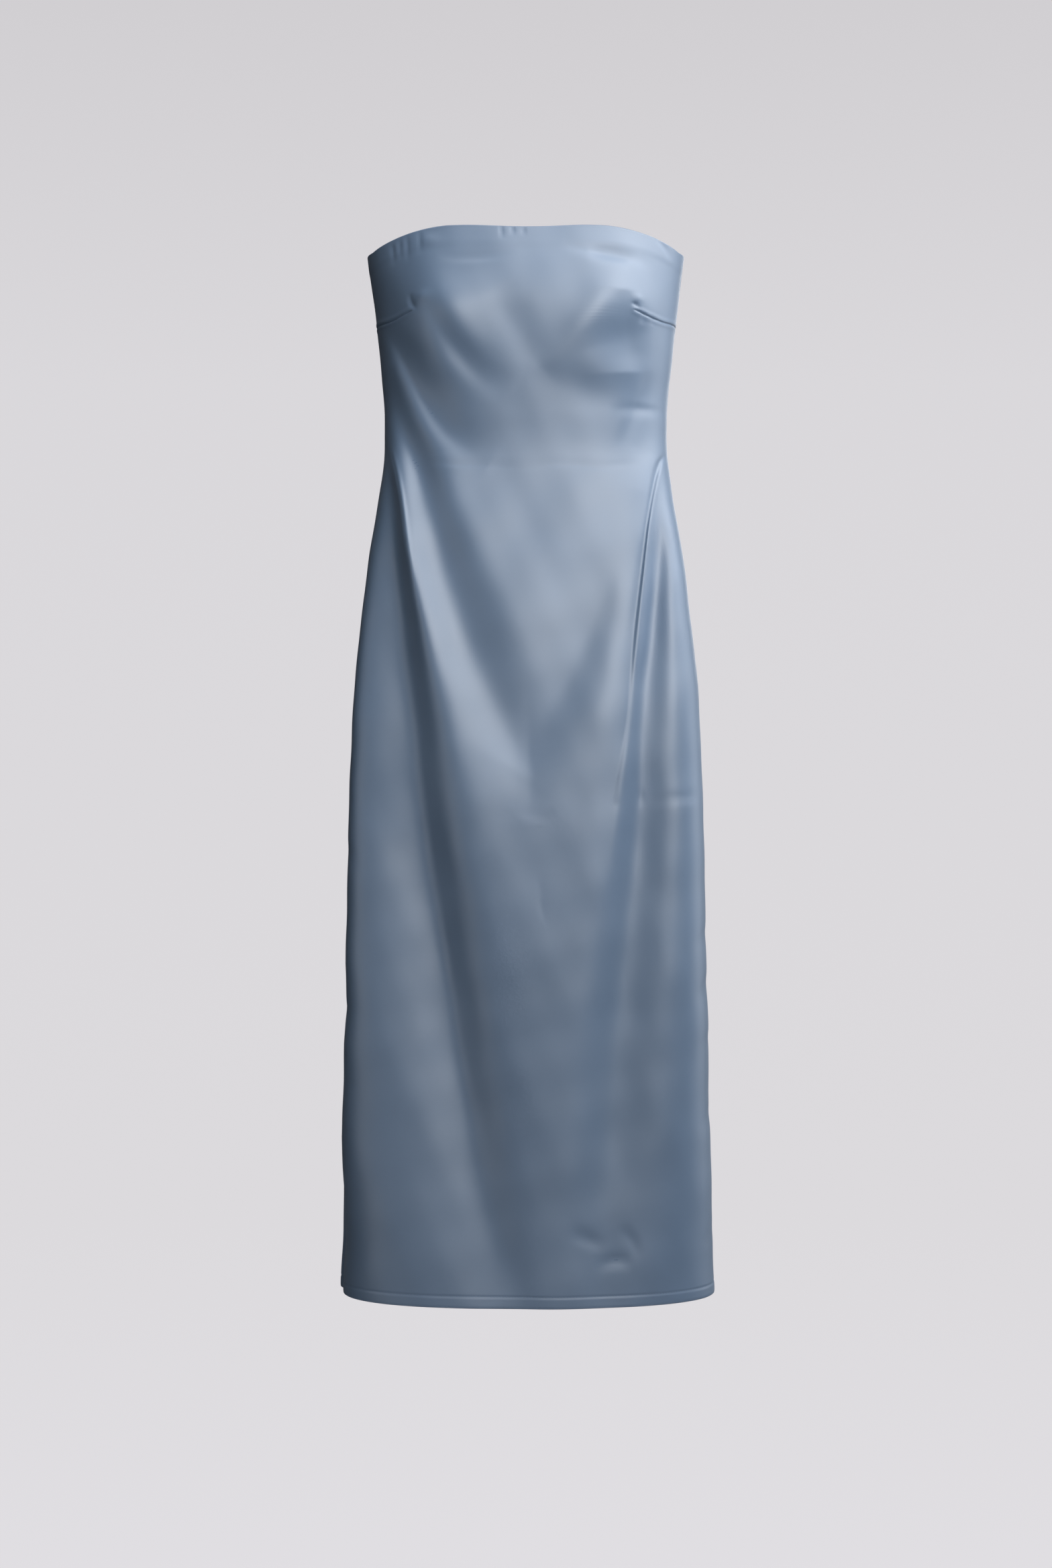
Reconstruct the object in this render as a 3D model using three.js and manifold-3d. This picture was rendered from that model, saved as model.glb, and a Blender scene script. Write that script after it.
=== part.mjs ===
// A strapless midi dress in satin, hollow and open at its neck edge and hem, standing as its wearer fills it.
// Millimetres, +Z up, +X to the viewer's right, the front faces -Y.
// The origin is on the body's axis at the bust line, where the wearer holds the dress up.
// Left and right are the viewer's, looking at the front.
// The pieces are the front with its two side bust darts, two back panels joined down the centre back,
// and the concealed zip between them: two tapes, the slider and its pull tab.

import * as THREE from "three";
import { mergeVertices } from "three/addons/utils/BufferGeometryUtils.js";
import Module from "manifold-3d";

const wasm = await Module();
wasm.setup();

// Cloth and seams
const WALL = 2; // satin and its backing
const SEAM_GAP = 0.3; // between two panels at a seam
const FACING = { width: 20, extra: 0.8 }; // the neck edge is turned in this far, and is thicker there
const HEM = { z: -1013.5, width: 12, extra: 1 }; // the hem is turned up this far
const TURN_STEP = 1.5; // height over which a turned edge ends inside

// The neck edge: nearly level over the front, falling to the side seams, lowest at the centre back
const NECK = {
  peak: 82.9, // highest, over each cup
  dip: 2.2, // lower at the centre front
  dipReach: 66,
  side: 63.5,
  back: 52,
  fallFrom: 0.47, // shares of the half width between which the front falls
  fallTo: 0.97,
  fallPower: 1.75,
  levelBelow: -20, // rows below this level don't follow the neck edge
};
const HEM_RISE = { side: 2.5, above: 90 }; // the hem is a little higher at the side seams

// Horizontal sections, top to bottom. half: half width. front, back: depth from the side seams' plane.
// The squares shape the front's left and right side and the back: 2 is an ellipse, more is squarer.
const SECTIONS = [
  {
    at: "neck edge", z: 82, half: 166.5, front: 93, back: 93,
    leftSquare: 2.5, rightSquare: 2.5, backSquare: 2.3,
  },
  {
    at: "over the bust", z: 40, half: 162, front: 106, back: 95,
    leftSquare: 2.35, rightSquare: 2.35, backSquare: 2.3,
  },
  {
    at: "bust line", z: 0, half: 156.5, front: 112, back: 93,
    leftSquare: 2.3, rightSquare: 2.3, backSquare: 2.3,
  },
  {
    at: "under the bust", z: -55, half: 150.7, front: 106, back: 85,
    leftSquare: 2.4, rightSquare: 2.4, backSquare: 2.3,
  },
  {
    at: "high waist", z: -105, half: 147, front: 97.5, back: 78,
    leftSquare: 2.6, rightSquare: 2.5, backSquare: 2.35,
  },
  {
    at: "waist", z: -150, half: 147.6, front: 93, back: 77,
    leftSquare: 3.4, rightSquare: 2.9, backSquare: 2.4,
  },
  {
    at: "high hip", z: -255, half: 163, front: 103, back: 103,
    leftSquare: 6, rightSquare: 4.5, backSquare: 2.5,
  },
  {
    at: "hip", z: -330, half: 171.8, front: 110, back: 118,
    leftSquare: 7.6, rightSquare: 4.8, backSquare: 2.6,
  },
  {
    at: "seat", z: -430, half: 179.6, front: 116, back: 119,
    leftSquare: 8.4, rightSquare: 5.2, backSquare: 2.8,
  },
  {
    at: "thigh", z: -630, half: 185.3, front: 115, back: 111,
    leftSquare: 7, rightSquare: 4.8, backSquare: 2.8,
  },
  {
    at: "knee", z: -830, half: 190.3, front: 111, back: 107,
    leftSquare: 4.4, rightSquare: 3.6, backSquare: 2.8,
  },
  {
    at: "hem", z: -1014, half: 196, front: 110, back: 106,
    leftSquare: 2.8, rightSquare: 2.5, backSquare: 2.6,
  },
];

// The two cups stand out of the front.
const CUP = { x: 95, z: -8, reachX: 40, reachZ: 47, height: 15 };

// The largest folds. Each has points down its line: x, z, half widths left and right of it, and depth.
// shape: "trough" sinks along the line, "left" sinks the cloth left of it, "right" the cloth right of it.
// A fold that reaches the hem runs on below it.
const FOLDS = [
  {
    name: "left hip tuck", face: "front", shape: "left",
    points: [
      { x: -146, z: -116, left: 4, right: 3, depth: 0 },
      { x: -140, z: -148, left: 5, right: 3, depth: 8 },
      { x: -133, z: -184, left: 6, right: 3, depth: 19 },
      { x: -126.5, z: -233, left: 8, right: 4, depth: 29 },
      { x: -120, z: -282, left: 10, right: 7, depth: 36 },
      { x: -110, z: -360, left: 13, right: 14, depth: 41 },
      { x: -102, z: -440, left: 13, right: 24, depth: 39 },
      { x: -91, z: -553, left: 13, right: 32, depth: 37 },
      { x: -70, z: -690, left: 12, right: 42, depth: 31 },
      { x: -49, z: -826, left: 14, right: 48, depth: 21 },
      { x: -26, z: -940, left: 18, right: 44, depth: 10 },
      { x: -6, z: -1040, left: 20, right: 38, depth: 0 },
    ],
  },
  {
    name: "left arm of the hip swag", face: "front", shape: "trough",
    points: [
      { x: -144, z: -56, left: 6, right: 7, depth: 0 },
      { x: -134, z: -92, left: 9, right: 11, depth: 6 },
      { x: -122, z: -127, left: 11, right: 14, depth: 10 },
      { x: -109, z: -165, left: 14, right: 17, depth: 12 },
      { x: -97, z: -214, left: 22, right: 20, depth: 11 },
      { x: -81, z: -275, left: 28, right: 26, depth: 12.5 },
      { x: -63, z: -332, left: 32, right: 30, depth: 12 },
      { x: -42, z: -384, left: 34, right: 32, depth: 11 },
      { x: -22, z: -430, left: 34, right: 30, depth: 9 },
      { x: -3, z: -472, left: 32, right: 30, depth: 5 },
      { x: 16, z: -514, left: 30, right: 30, depth: 0 },
    ],
  },
  {
    name: "right arm of the hip swag", face: "front", shape: "trough",
    points: [
      { x: 112, z: -185, left: 26, right: 20, depth: 0 },
      { x: 84, z: -275, left: 34, right: 24, depth: 4.5 },
      { x: 48, z: -358, left: 36, right: 28, depth: 7 },
      { x: 12, z: -424, left: 34, right: 30, depth: 6 },
      { x: -14, z: -468, left: 30, right: 30, depth: 0 },
    ],
  },
  {
    name: "right hip tuck", face: "front", shape: "trough",
    points: [
      { x: 143, z: -148, left: 7, right: 4, depth: 0 },
      { x: 136, z: -162, left: 9, right: 5, depth: 1.8 },
      { x: 130.5, z: -179, left: 11, right: 5, depth: 2.4 },
      { x: 121, z: -230, left: 14, right: 6, depth: 3 },
      { x: 108, z: -335, left: 16, right: 7, depth: 4 },
      { x: 100, z: -420, left: 16, right: 8, depth: 3 },
      { x: 88, z: -490, left: 14, right: 9, depth: 2 },
      { x: 76, z: -590, left: 14, right: 12, depth: 0 },
    ],
  },
  {
    name: "right side trough", face: "front", shape: "trough",
    points: [
      { x: 139, z: -158, left: 4, right: 6, depth: 0 },
      { x: 134, z: -200, left: 6, right: 10, depth: 6.5 },
      { x: 133, z: -254, left: 9, right: 13, depth: 14 },
      { x: 127, z: -330, left: 11, right: 18, depth: 16 },
      { x: 119, z: -410, left: 13, right: 24, depth: 12 },
      { x: 116, z: -500, left: 17, right: 27, depth: 13.5 },
      { x: 110, z: -590, left: 22, right: 30, depth: 14.5 },
      { x: 100, z: -690, left: 27, right: 34, depth: 14 },
      { x: 92, z: -790, left: 30, right: 38, depth: 13 },
      { x: 86, z: -900, left: 32, right: 40, depth: 9 },
      { x: 82, z: -1040, left: 34, right: 40, depth: 0 },
    ],
  },
  {
    name: "hollow under the right dart", face: "front", shape: "trough",
    points: [
      { x: 100, z: 16, left: 22, right: 12, depth: 0 },
      { x: 99, z: -8, left: 26, right: 20, depth: 7 },
      { x: 101, z: -27, left: 30, right: 22, depth: 10 },
      { x: 104, z: -44, left: 30, right: 18, depth: 7 },
      { x: 106, z: -66, left: 28, right: 14, depth: 0 },
    ],
  },
  {
    name: "first drape from the left cup", face: "front", shape: "trough",
    points: [
      { x: -104, z: 10, left: 7, right: 10, depth: 0 },
      { x: -91, z: -14, left: 11, right: 13, depth: 3.4 },
      { x: -73, z: -41, left: 13, right: 14, depth: 4.6 },
      { x: -50, z: -66, left: 14, right: 16, depth: 3.6 },
      { x: -20, z: -90, left: 16, right: 18, depth: 0 },
    ],
  },
  {
    name: "second drape from the left side", face: "front", shape: "trough",
    points: [
      { x: -144, z: -14, left: 4, right: 8, depth: 0 },
      { x: -131, z: -39, left: 7, right: 14, depth: 6.5 },
      { x: -119, z: -63, left: 8, right: 20, depth: 9.5 },
      { x: -103, z: -92, left: 10, right: 24, depth: 9 },
      { x: -85, z: -119, left: 12, right: 22, depth: 6 },
      { x: -62, z: -140, left: 14, right: 20, depth: 3 },
      { x: -36, z: -158, left: 16, right: 18, depth: 0 },
    ],
  },
  {
    name: "left back tuck", face: "back", shape: "left",
    points: [
      { x: -146, z: -140, left: 9, right: 7, depth: 0 },
      { x: -126, z: -255, left: 13, right: 11, depth: 14 },
      { x: -112, z: -420, left: 16, right: 18, depth: 20 },
      { x: -95, z: -640, left: 18, right: 28, depth: 17 },
      { x: -74, z: -900, left: 20, right: 36, depth: 7 },
      { x: -64, z: -1040, left: 20, right: 36, depth: 0 },
    ],
  },
  {
    name: "right back tuck", face: "back", shape: "right",
    points: [
      { x: 145, z: -144, left: 8, right: 10, depth: 0 },
      { x: 128, z: -280, left: 12, right: 14, depth: 13 },
      { x: 114, z: -470, left: 20, right: 16, depth: 17 },
      { x: 102, z: -720, left: 30, right: 18, depth: 12 },
      { x: 90, z: -920, left: 34, right: 20, depth: 5 },
      { x: 84, z: -1040, left: 34, right: 20, depth: 0 },
    ],
  },
  {
    name: "left back swag", face: "back", shape: "trough",
    points: [
      { x: -96, z: -300, left: 22, right: 26, depth: 0 },
      { x: -52, z: -470, left: 26, right: 32, depth: 6 },
      { x: -26, z: -660, left: 32, right: 34, depth: 0 },
    ],
  },
  {
    name: "right back swag", face: "back", shape: "trough",
    points: [
      { x: 88, z: -380, left: 26, right: 22, depth: 0 },
      { x: 58, z: -560, left: 32, right: 26, depth: 6 },
      { x: 44, z: -820, left: 34, right: 32, depth: 0 },
    ],
  },
];
const STEP_STEEPNESS = 1.2; // how soon a tuck's step ends, in half widths

// Bust darts, from the side seam up to the cup: a shallow groove where the cloth is sewn into itself
const DART = { radius: 1, sides: 6 };
const DARTS = [
  {
    name: "left",
    points: [
      { x: -154, z: -10.5 },
      { x: -144, z: -11.5 },
      { x: -132.5, z: -10 },
      { x: -116.5, z: -4.5 },
    ],
  },
  {
    name: "right",
    points: [
      { x: 154, z: -11 },
      { x: 141, z: -11.6 },
      { x: 126, z: -9 },
      { x: 111.5, z: -4 },
    ],
  },
];
const BACK_DART_X = 66; // each back panel has one dart down through the waist
const BACK_DART = { top: -55, bottom: -250, steps: 9 };

// Rows of the cloth grid, from the neck edge down: each band ends at a level, in equal rows
const ROW_BANDS = [
  { band: "facing", to: NECK.peak - FACING.width, rows: 2 },
  { band: "end of the facing", to: NECK.peak - FACING.width - TURN_STEP, rows: 1 },
  { band: "bust", to: -48, rows: 8 },
  { band: "waist", to: -188, rows: 7 },
  { band: "hip", to: -430, rows: 9 },
  { band: "skirt", to: HEM.z + HEM.width + TURN_STEP, rows: 12 },
  { band: "end of the hem", to: HEM.z + HEM.width, rows: 1 },
  { band: "hem", to: HEM.z, rows: 1 },
];
const FRONT_COLUMNS = 32;
const BACK_COLUMNS = 10; // on each back panel
const FINE_STEPS = 240; // along a section before it is spaced out evenly
const SEAM_POWER = 2.6; // how much closer they lie near the seams
const CURVE_STEPS = 8; // between two points of a fold's line

// The concealed zip in the centre back seam
const ZIP = {
  end: -290, // its lowest level
  below: 3, // it starts this far below the neck edge
  slot: 0.8, // half the slot between the tapes, where the slider's neck runs
  coil: 2.6, // the coil ends this far from the centre
  width: 12.8, // the tape's outer edge, from the centre
  tape: 0.8, // thickness
  coilThick: 2,
  gap: 0.5, // to the cloth
};
const SLIDER = {
  level: 70,
  half: 4.5,
  height: 11,
  thick: 3,
  neck: 1,
  clear: 0.3,
  opening: 2, // the back seam stands open this many slider heights above and below it
};
const LUG = { radius: 2, hole: 0.95, reach: 2.9 }; // reach: from the cloth to the pin
const PULL = {
  pin: 0.6,
  ear: 1.9,
  earFrom: 0.8,
  earTo: 2,
  top: 2.6,
  length: 21,
  neckHalf: 2,
  bulbHalf: 3.2,
  thick: 1.2,
};
const ROUND = 16; // sides of a small round
const SAME_POINT = 1e-4;

function lerp(a, b, t) {
  return a + (b - a) * t;
}

function clamped(t) {
  return Math.min(1, Math.max(0, t));
}

function smooth(t) {
  const c = clamped(t);
  return c * c * (3 - 2 * c);
}

// A cubic through a table's rows, with slopes from their neighbours. The table runs down in its z column.
function between(table, column, z) {
  const last = table.length - 1;
  let i = 0;
  while (i < last - 1 && z < table[i + 1].z) i++;
  const slope = (k) => {
    const a = table[Math.max(0, k - 1)];
    const b = table[Math.min(last, k + 1)];
    return (b[column] - a[column]) / (b.z - a.z);
  };
  const a = table[i];
  const b = table[i + 1];
  const run = b.z - a.z;
  const t = clamped((z - a.z) / run);
  const rise = smooth(t);
  const bend = t * (1 - t) * run * (slope(i) * (1 - t) - slope(i + 1) * t);
  return lerp(a[column], b[column], rise) + bend;
}

// Points along a fold's smooth line, with its width and depth carried along
function spread(points) {
  const keys = Object.keys(points[0]);
  const at = (k) => points[Math.min(points.length - 1, Math.max(0, k))];
  const line = [];
  for (let i = 0; i < points.length - 1; i++) {
    for (let s = 0; s < CURVE_STEPS; s++) {
      const t = s / CURVE_STEPS;
      const here = {};
      for (const key of keys) {
        const p = at(i - 1)[key];
        const a = at(i)[key];
        const b = at(i + 1)[key];
        const n = at(i + 2)[key];
        const cube = 3 * (a - b) + n - p;
        const square = 2 * p - 5 * a + 4 * b - n;
        here[key] = a + (((cube * t + square) * t + b - p) * t) / 2;
      }
      line.push(here);
    }
  }
  line.push({ ...at(points.length - 1) });
  return line;
}

const FOLD_LINES = FOLDS.map((fold) => ({ ...fold, line: spread(fold.points) }));

// The place on a fold's line nearest to x, z: its values there, and how far right of the line x, z lies
function nearestOn(line, x, z) {
  let best = { distance: Infinity };
  for (let i = 0; i < line.length - 1; i++) {
    const a = line[i];
    const b = line[i + 1];
    const dx = b.x - a.x;
    const dz = b.z - a.z;
    const t = clamped(((x - a.x) * dx + (z - a.z) * dz) / (dx * dx + dz * dz));
    const px = x - lerp(a.x, b.x, t);
    const pz = z - lerp(a.z, b.z, t);
    const distance = Math.hypot(px, pz);
    const right = Math.sign(dx * pz - dz * px) * distance;
    if (distance < best.distance) best = { distance, a, b, t, right };
  }
  return best;
}

// How far one fold moves the cloth out at a place
function foldAt({ shape, line }, x, z) {
  const { a, b, t, right: offset } = nearestOn(line, x, z);
  const depth = lerp(a.depth, b.depth, t);
  const left = lerp(a.left, b.left, t);
  const right = lerp(a.right, b.right, t);
  const s = offset / (offset < 0 ? left : right);
  if (shape === "trough") return -depth * Math.exp(-s * s);
  const passed = Math.tanh(STEP_STEEPNESS * Math.abs(s));
  const sunkRight = (offset < 0 ? left * (1 - passed) : left + right * passed) / (left + right);
  return -depth * (shape === "right" ? sunkRight : 1 - sunkRight);
}

function cupAt(x, z) {
  const up = Math.exp(-(((z - CUP.z) / CUP.reachZ) ** 2));
  const across = Math.exp(-(((Math.abs(x) - CUP.x) / CUP.reachX) ** 2));
  return CUP.height * up * across;
}

function frontNeck(share) {
  const fall = clamped((share - NECK.fallFrom) / (NECK.fallTo - NECK.fallFrom)) ** NECK.fallPower;
  return fall * (NECK.peak - NECK.side);
}

// The height of a row at a place: rows near the top follow the neck edge, rows near the hem follow the hem
function heightOf(level, face, x) {
  const share = clamped(Math.abs(x) / between(SECTIONS, "half", NECK.side));
  const dip = NECK.dip * clamped(1 - (x / NECK.dipReach) ** 2) ** 2;
  const drop =
    face === "front"
      ? frontNeck(share) + dip
      : NECK.peak - lerp(NECK.back, NECK.side, smooth(share));
  const follow = smooth((level - NECK.levelBelow) / (NECK.peak - NECK.levelBelow));
  const rise = HEM_RISE.side * clamped(Math.abs(x) / between(SECTIONS, "half", HEM.z)) ** 2;
  const nearHem = smooth((HEM.z + HEM_RISE.above - level) / HEM_RISE.above);
  return level - drop * follow + rise * nearHem;
}

// The plain section at x, without folds. share falls from 1 at the middle to 0 at the seams.
function plainAt(face, x, z) {
  const side = x < 0 ? "leftSquare" : "rightSquare";
  const square = between(SECTIONS, face === "front" ? side : "backSquare", z);
  const reach = clamped(Math.abs(x) / between(SECTIONS, "half", z));
  const share = (1 - reach ** square) ** (1 / square);
  return { share, depth: share * between(SECTIONS, face, z) };
}

// A point of the cloth's outside
function clothPoint(face, x, z) {
  const { share, depth } = plainAt(face, x, z);
  let out = face === "front" ? cupAt(x, z) : 0;
  for (const fold of FOLD_LINES) if (fold.face === face) out += foldAt(fold, x, z);
  const y = Math.max(SEAM_GAP / 2, depth + out * share);
  return new THREE.Vector3(x, face === "front" ? -y : y, z);
}

// One row of a face's outside, from the left seam to the right seam, evenly spaced over its folds
function rowPoints(face, level, columns) {
  const fine = [];
  const runs = [];
  for (let k = 0; k <= FINE_STEPS; k++) {
    const even = (2 * k) / FINE_STEPS - 1;
    const across = Math.sign(even) * (1 - (1 - Math.abs(even)) ** SEAM_POWER);
    const z = heightOf(level, face, across * between(SECTIONS, "half", level));
    fine.push(clothPoint(face, across * between(SECTIONS, "half", z), z));
    runs.push(k ? runs[k - 1] + fine[k].distanceTo(fine[k - 1]) : 0);
  }
  const row = [];
  for (let j = 0, k = 1; j <= columns; j++) {
    const run = (runs[FINE_STEPS] * j) / columns;
    while (k < FINE_STEPS && runs[k] < run) k++;
    row.push(fine[k - 1].clone().lerp(fine[k], (run - runs[k - 1]) / (runs[k] - runs[k - 1])));
  }
  return row;
}

function rowLevels() {
  const levels = [NECK.peak];
  for (const { to, rows } of ROW_BANDS) {
    const from = levels[levels.length - 1];
    for (let i = 1; i <= rows; i++) levels.push(lerp(from, to, i / rows));
  }
  return levels;
}

function wallAt(level) {
  const facing = 1 - smooth((NECK.peak - FACING.width - level) / TURN_STEP);
  const hem = smooth((HEM.z + HEM.width + TURN_STEP - level) / TURN_STEP);
  return WALL + FACING.extra * facing + HEM.extra * hem;
}

function faceGrid(face, columns) {
  return rowLevels().map((level) => rowPoints(face, level, columns));
}

function normalsOf(grid) {
  const last = grid.length - 1;
  return grid.map((row, i) =>
    row.map((_, j) => {
      const across = row[Math.min(row.length - 1, j + 1)].clone().sub(row[Math.max(0, j - 1)]);
      const down = grid[Math.min(last, i + 1)][j].clone().sub(grid[Math.max(0, i - 1)][j]);
      return across.cross(down).normalize();
    }),
  );
}

// A closed wall from its outside points. facing: 1 where the columns run to the right as seen from outside.
// Its side, top and bottom edges keep the outside's seam plane and height, so that neighbours stay parted.
function wallFrom(grid, thicknesses, facing, onEdge) {
  const rows = grid.length;
  const columns = grid[0].length;
  const normals = normalsOf(grid);
  const position = [];
  grid.forEach((row) => row.forEach((p) => position.push(p.x, p.y, p.z)));
  grid.forEach((row, i) =>
    row.forEach((p, j) => {
      const inward = normals[i][j].multiplyScalar(facing * thicknesses[i]);
      if (i === 0 || i === rows - 1) inward.z = 0;
      if (j === 0 || j === columns - 1) onEdge(inward, j === 0);
      position.push(p.x + inward.x, p.y + inward.y, p.z + inward.z);
    }),
  );
  const inner = rows * columns;
  const index = [];
  const quad = (a, b, c, d) => index.push(a, b, c, a, c, d);
  for (let i = 0; i < rows - 1; i++) {
    for (let j = 0; j < columns - 1; j++) {
      const a = i * columns + j;
      quad(a, a + columns, a + columns + 1, a + 1);
      quad(inner + a, inner + a + 1, inner + a + columns + 1, inner + a + columns);
    }
    const left = i * columns;
    const right = left + columns - 1;
    quad(left, inner + left, inner + left + columns, left + columns);
    quad(right, right + columns, inner + right + columns, inner + right);
  }
  const foot = (rows - 1) * columns;
  for (let j = 0; j < columns - 1; j++) {
    quad(j, j + 1, inner + j + 1, inner + j);
    quad(foot + j, inner + foot + j, inner + foot + j + 1, foot + j + 1);
  }
  if (facing < 0) index.reverse();
  const wall = new THREE.BufferGeometry();
  wall.setAttribute("position", new THREE.Float32BufferAttribute(position, 3));
  wall.setIndex(index);
  return wall;
}

function toSolid(geometry) {
  const bare = geometry.clone();
  bare.deleteAttribute("normal");
  bare.deleteAttribute("uv");
  const merged = mergeVertices(bare, SAME_POINT);
  const triVerts = merged.index
    ? new Uint32Array(merged.index.array)
    : Uint32Array.from({ length: merged.attributes.position.count }, (_, i) => i);
  const vertProperties = new Float32Array(merged.attributes.position.array);
  return new wasm.Manifold(new wasm.Mesh({ numProp: 3, vertProperties, triVerts }));
}

function toGeometry(solid) {
  const mesh = solid.getMesh();
  const geometry = new THREE.BufferGeometry();
  geometry.setAttribute("position", new THREE.Float32BufferAttribute(mesh.vertProperties, 3));
  geometry.setIndex(Array.from(mesh.triVerts));
  return geometry;
}

// A thin rod along points on the cloth, half sunk in it, to cut a groove
function grooveCutter(points) {
  const section = new THREE.Shape();
  section.moveTo(DART.radius, 0);
  for (let k = 1; k < DART.sides; k++) {
    const turn = (2 * Math.PI * k) / DART.sides;
    section.lineTo(DART.radius * Math.cos(turn), DART.radius * Math.sin(turn));
  }
  const extrudePath = new THREE.CatmullRomCurve3(points);
  return toSolid(new THREE.ExtrudeGeometry(section, { steps: 3 * points.length, extrudePath }));
}

function frontGeometry() {
  const grid = faceGrid("front", FRONT_COLUMNS);
  const walls = rowLevels().map(wallAt);
  let solid = toSolid(
    wallFrom(grid, walls, 1, (inward) => {
      inward.y = 0;
      inward.setLength(WALL);
    }),
  );
  for (const { points } of DARTS) {
    const line = points.map(({ x, z }) => clothPoint("front", x, z));
    solid = solid.subtract(grooveCutter(line));
  }
  return toGeometry(solid);
}

// Half of the back. The centre seam's edge stands back from the slider's neck.
function backGeometry(side) {
  const whole = faceGrid("back", 2 * BACK_COLUMNS);
  const slider = sliderPlace();
  const grid = whole.map((row) => {
    const half = side < 0 ? row.slice(0, BACK_COLUMNS + 1) : row.slice(BACK_COLUMNS);
    const centre = half[side < 0 ? BACK_COLUMNS : 0];
    const near = smooth(SLIDER.opening - Math.abs(centre.z - slider.z) / SLIDER.height);
    centre.x = side * lerp(SEAM_GAP / 2, ZIP.slot, near);
    return half;
  });
  const walls = rowLevels().map(wallAt);
  const solid = toSolid(
    wallFrom(grid, walls, -1, (inward, first) => {
      const onSideSeam = first === side < 0;
      if (onSideSeam) inward.y = 0;
      else inward.x = 0;
      if (onSideSeam) inward.setLength(WALL);
    }),
  );
  const line = [];
  for (let i = 0; i <= BACK_DART.steps; i++) {
    const z = lerp(BACK_DART.top, BACK_DART.bottom, i / BACK_DART.steps);
    line.push(clothPoint("back", side * BACK_DART_X, z));
  }
  return toGeometry(solid.subtract(grooveCutter(line)));
}

function backDepth(level) {
  const z = heightOf(level, "back", 0);
  return { z, y: clothPoint("back", 0, z).y };
}

// A tape with its coil, swept down the inside of the centre back seam
function tapeGeometry(side) {
  const first = NECK.peak - ZIP.below;
  const levels = [first, ...rowLevels().filter((level) => level < first && level > ZIP.end), ZIP.end];
  const profile = [
    { x: ZIP.slot, deep: 0 },
    { x: ZIP.width, deep: 0 },
    { x: ZIP.width, deep: ZIP.tape },
    { x: ZIP.coil, deep: ZIP.tape },
    { x: ZIP.coil, deep: ZIP.coilThick },
    { x: ZIP.slot, deep: ZIP.coilThick },
  ];
  const position = [];
  for (const level of levels) {
    const { z } = backDepth(level);
    const inset = wallAt(level) + ZIP.gap;
    for (const { x, deep } of profile) {
      const cloth = clothPoint("back", x, z).y;
      position.push(side * x, cloth - inset - deep, z);
    }
  }
  const sides = profile.length;
  const index = [];
  for (let i = 0; i < levels.length - 1; i++) {
    for (let k = 0; k < sides; k++) {
      const a = i * sides + k;
      const b = i * sides + ((k + 1) % sides);
      index.push(a, b, b + sides, a, b + sides, a + sides);
    }
  }
  const foot = (levels.length - 1) * sides;
  for (let k = 1; k < sides - 1; k++) {
    index.push(0, k + 1, k);
    index.push(foot, foot + k, foot + k + 1);
  }
  if (side < 0) index.reverse();
  const tape = new THREE.BufferGeometry();
  tape.setAttribute("position", new THREE.Float32BufferAttribute(position, 3));
  tape.setIndex(index);
  return tape;
}

function sliderPlace() {
  const { z, y } = backDepth(SLIDER.level);
  const coilBack = y - wallAt(SLIDER.level) - ZIP.gap - ZIP.coilThick;
  return { z, pinY: y + LUG.reach, bodyY: coilBack - SLIDER.clear - SLIDER.thick / 2 };
}

function boxAt(width, depth, height, x, y, z) {
  return toSolid(new THREE.BoxGeometry(width, depth, height).translate(x, y, z));
}

// A plate in the YZ plane, from its outline in Y and Z, centred on x
function plateAt(shape, thick, x) {
  const options = { depth: thick, bevelEnabled: false, curveSegments: ROUND / 2 };
  const plate = new THREE.ExtrudeGeometry(shape, options);
  plate.translate(0, 0, -thick / 2);
  plate.applyMatrix4(new THREE.Matrix4().set(0, 0, 1, x, 1, 0, 0, 0, 0, 1, 0, 0, 0, 0, 0, 1));
  return toSolid(plate);
}

// The slider: a block inside the coils, and a neck through the seam that ends in an eye for the pull tab
function sliderGeometry() {
  const { z, pinY, bodyY } = sliderPlace();
  const block = boxAt(2 * SLIDER.half, SLIDER.thick, SLIDER.height, 0, bodyY, z);
  const lug = new THREE.Shape();
  lug.moveTo(bodyY, z - LUG.radius);
  lug.lineTo(pinY, z - LUG.radius);
  lug.absarc(pinY, z, LUG.radius, -Math.PI / 2, Math.PI / 2, false);
  lug.lineTo(bodyY, z + LUG.radius);
  lug.closePath();
  const eye = new THREE.Path();
  eye.absarc(pinY, z, LUG.hole, 0, 2 * Math.PI, true);
  lug.holes.push(eye);
  return toGeometry(block.add(plateAt(lug, SLIDER.neck, 0)));
}

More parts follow.
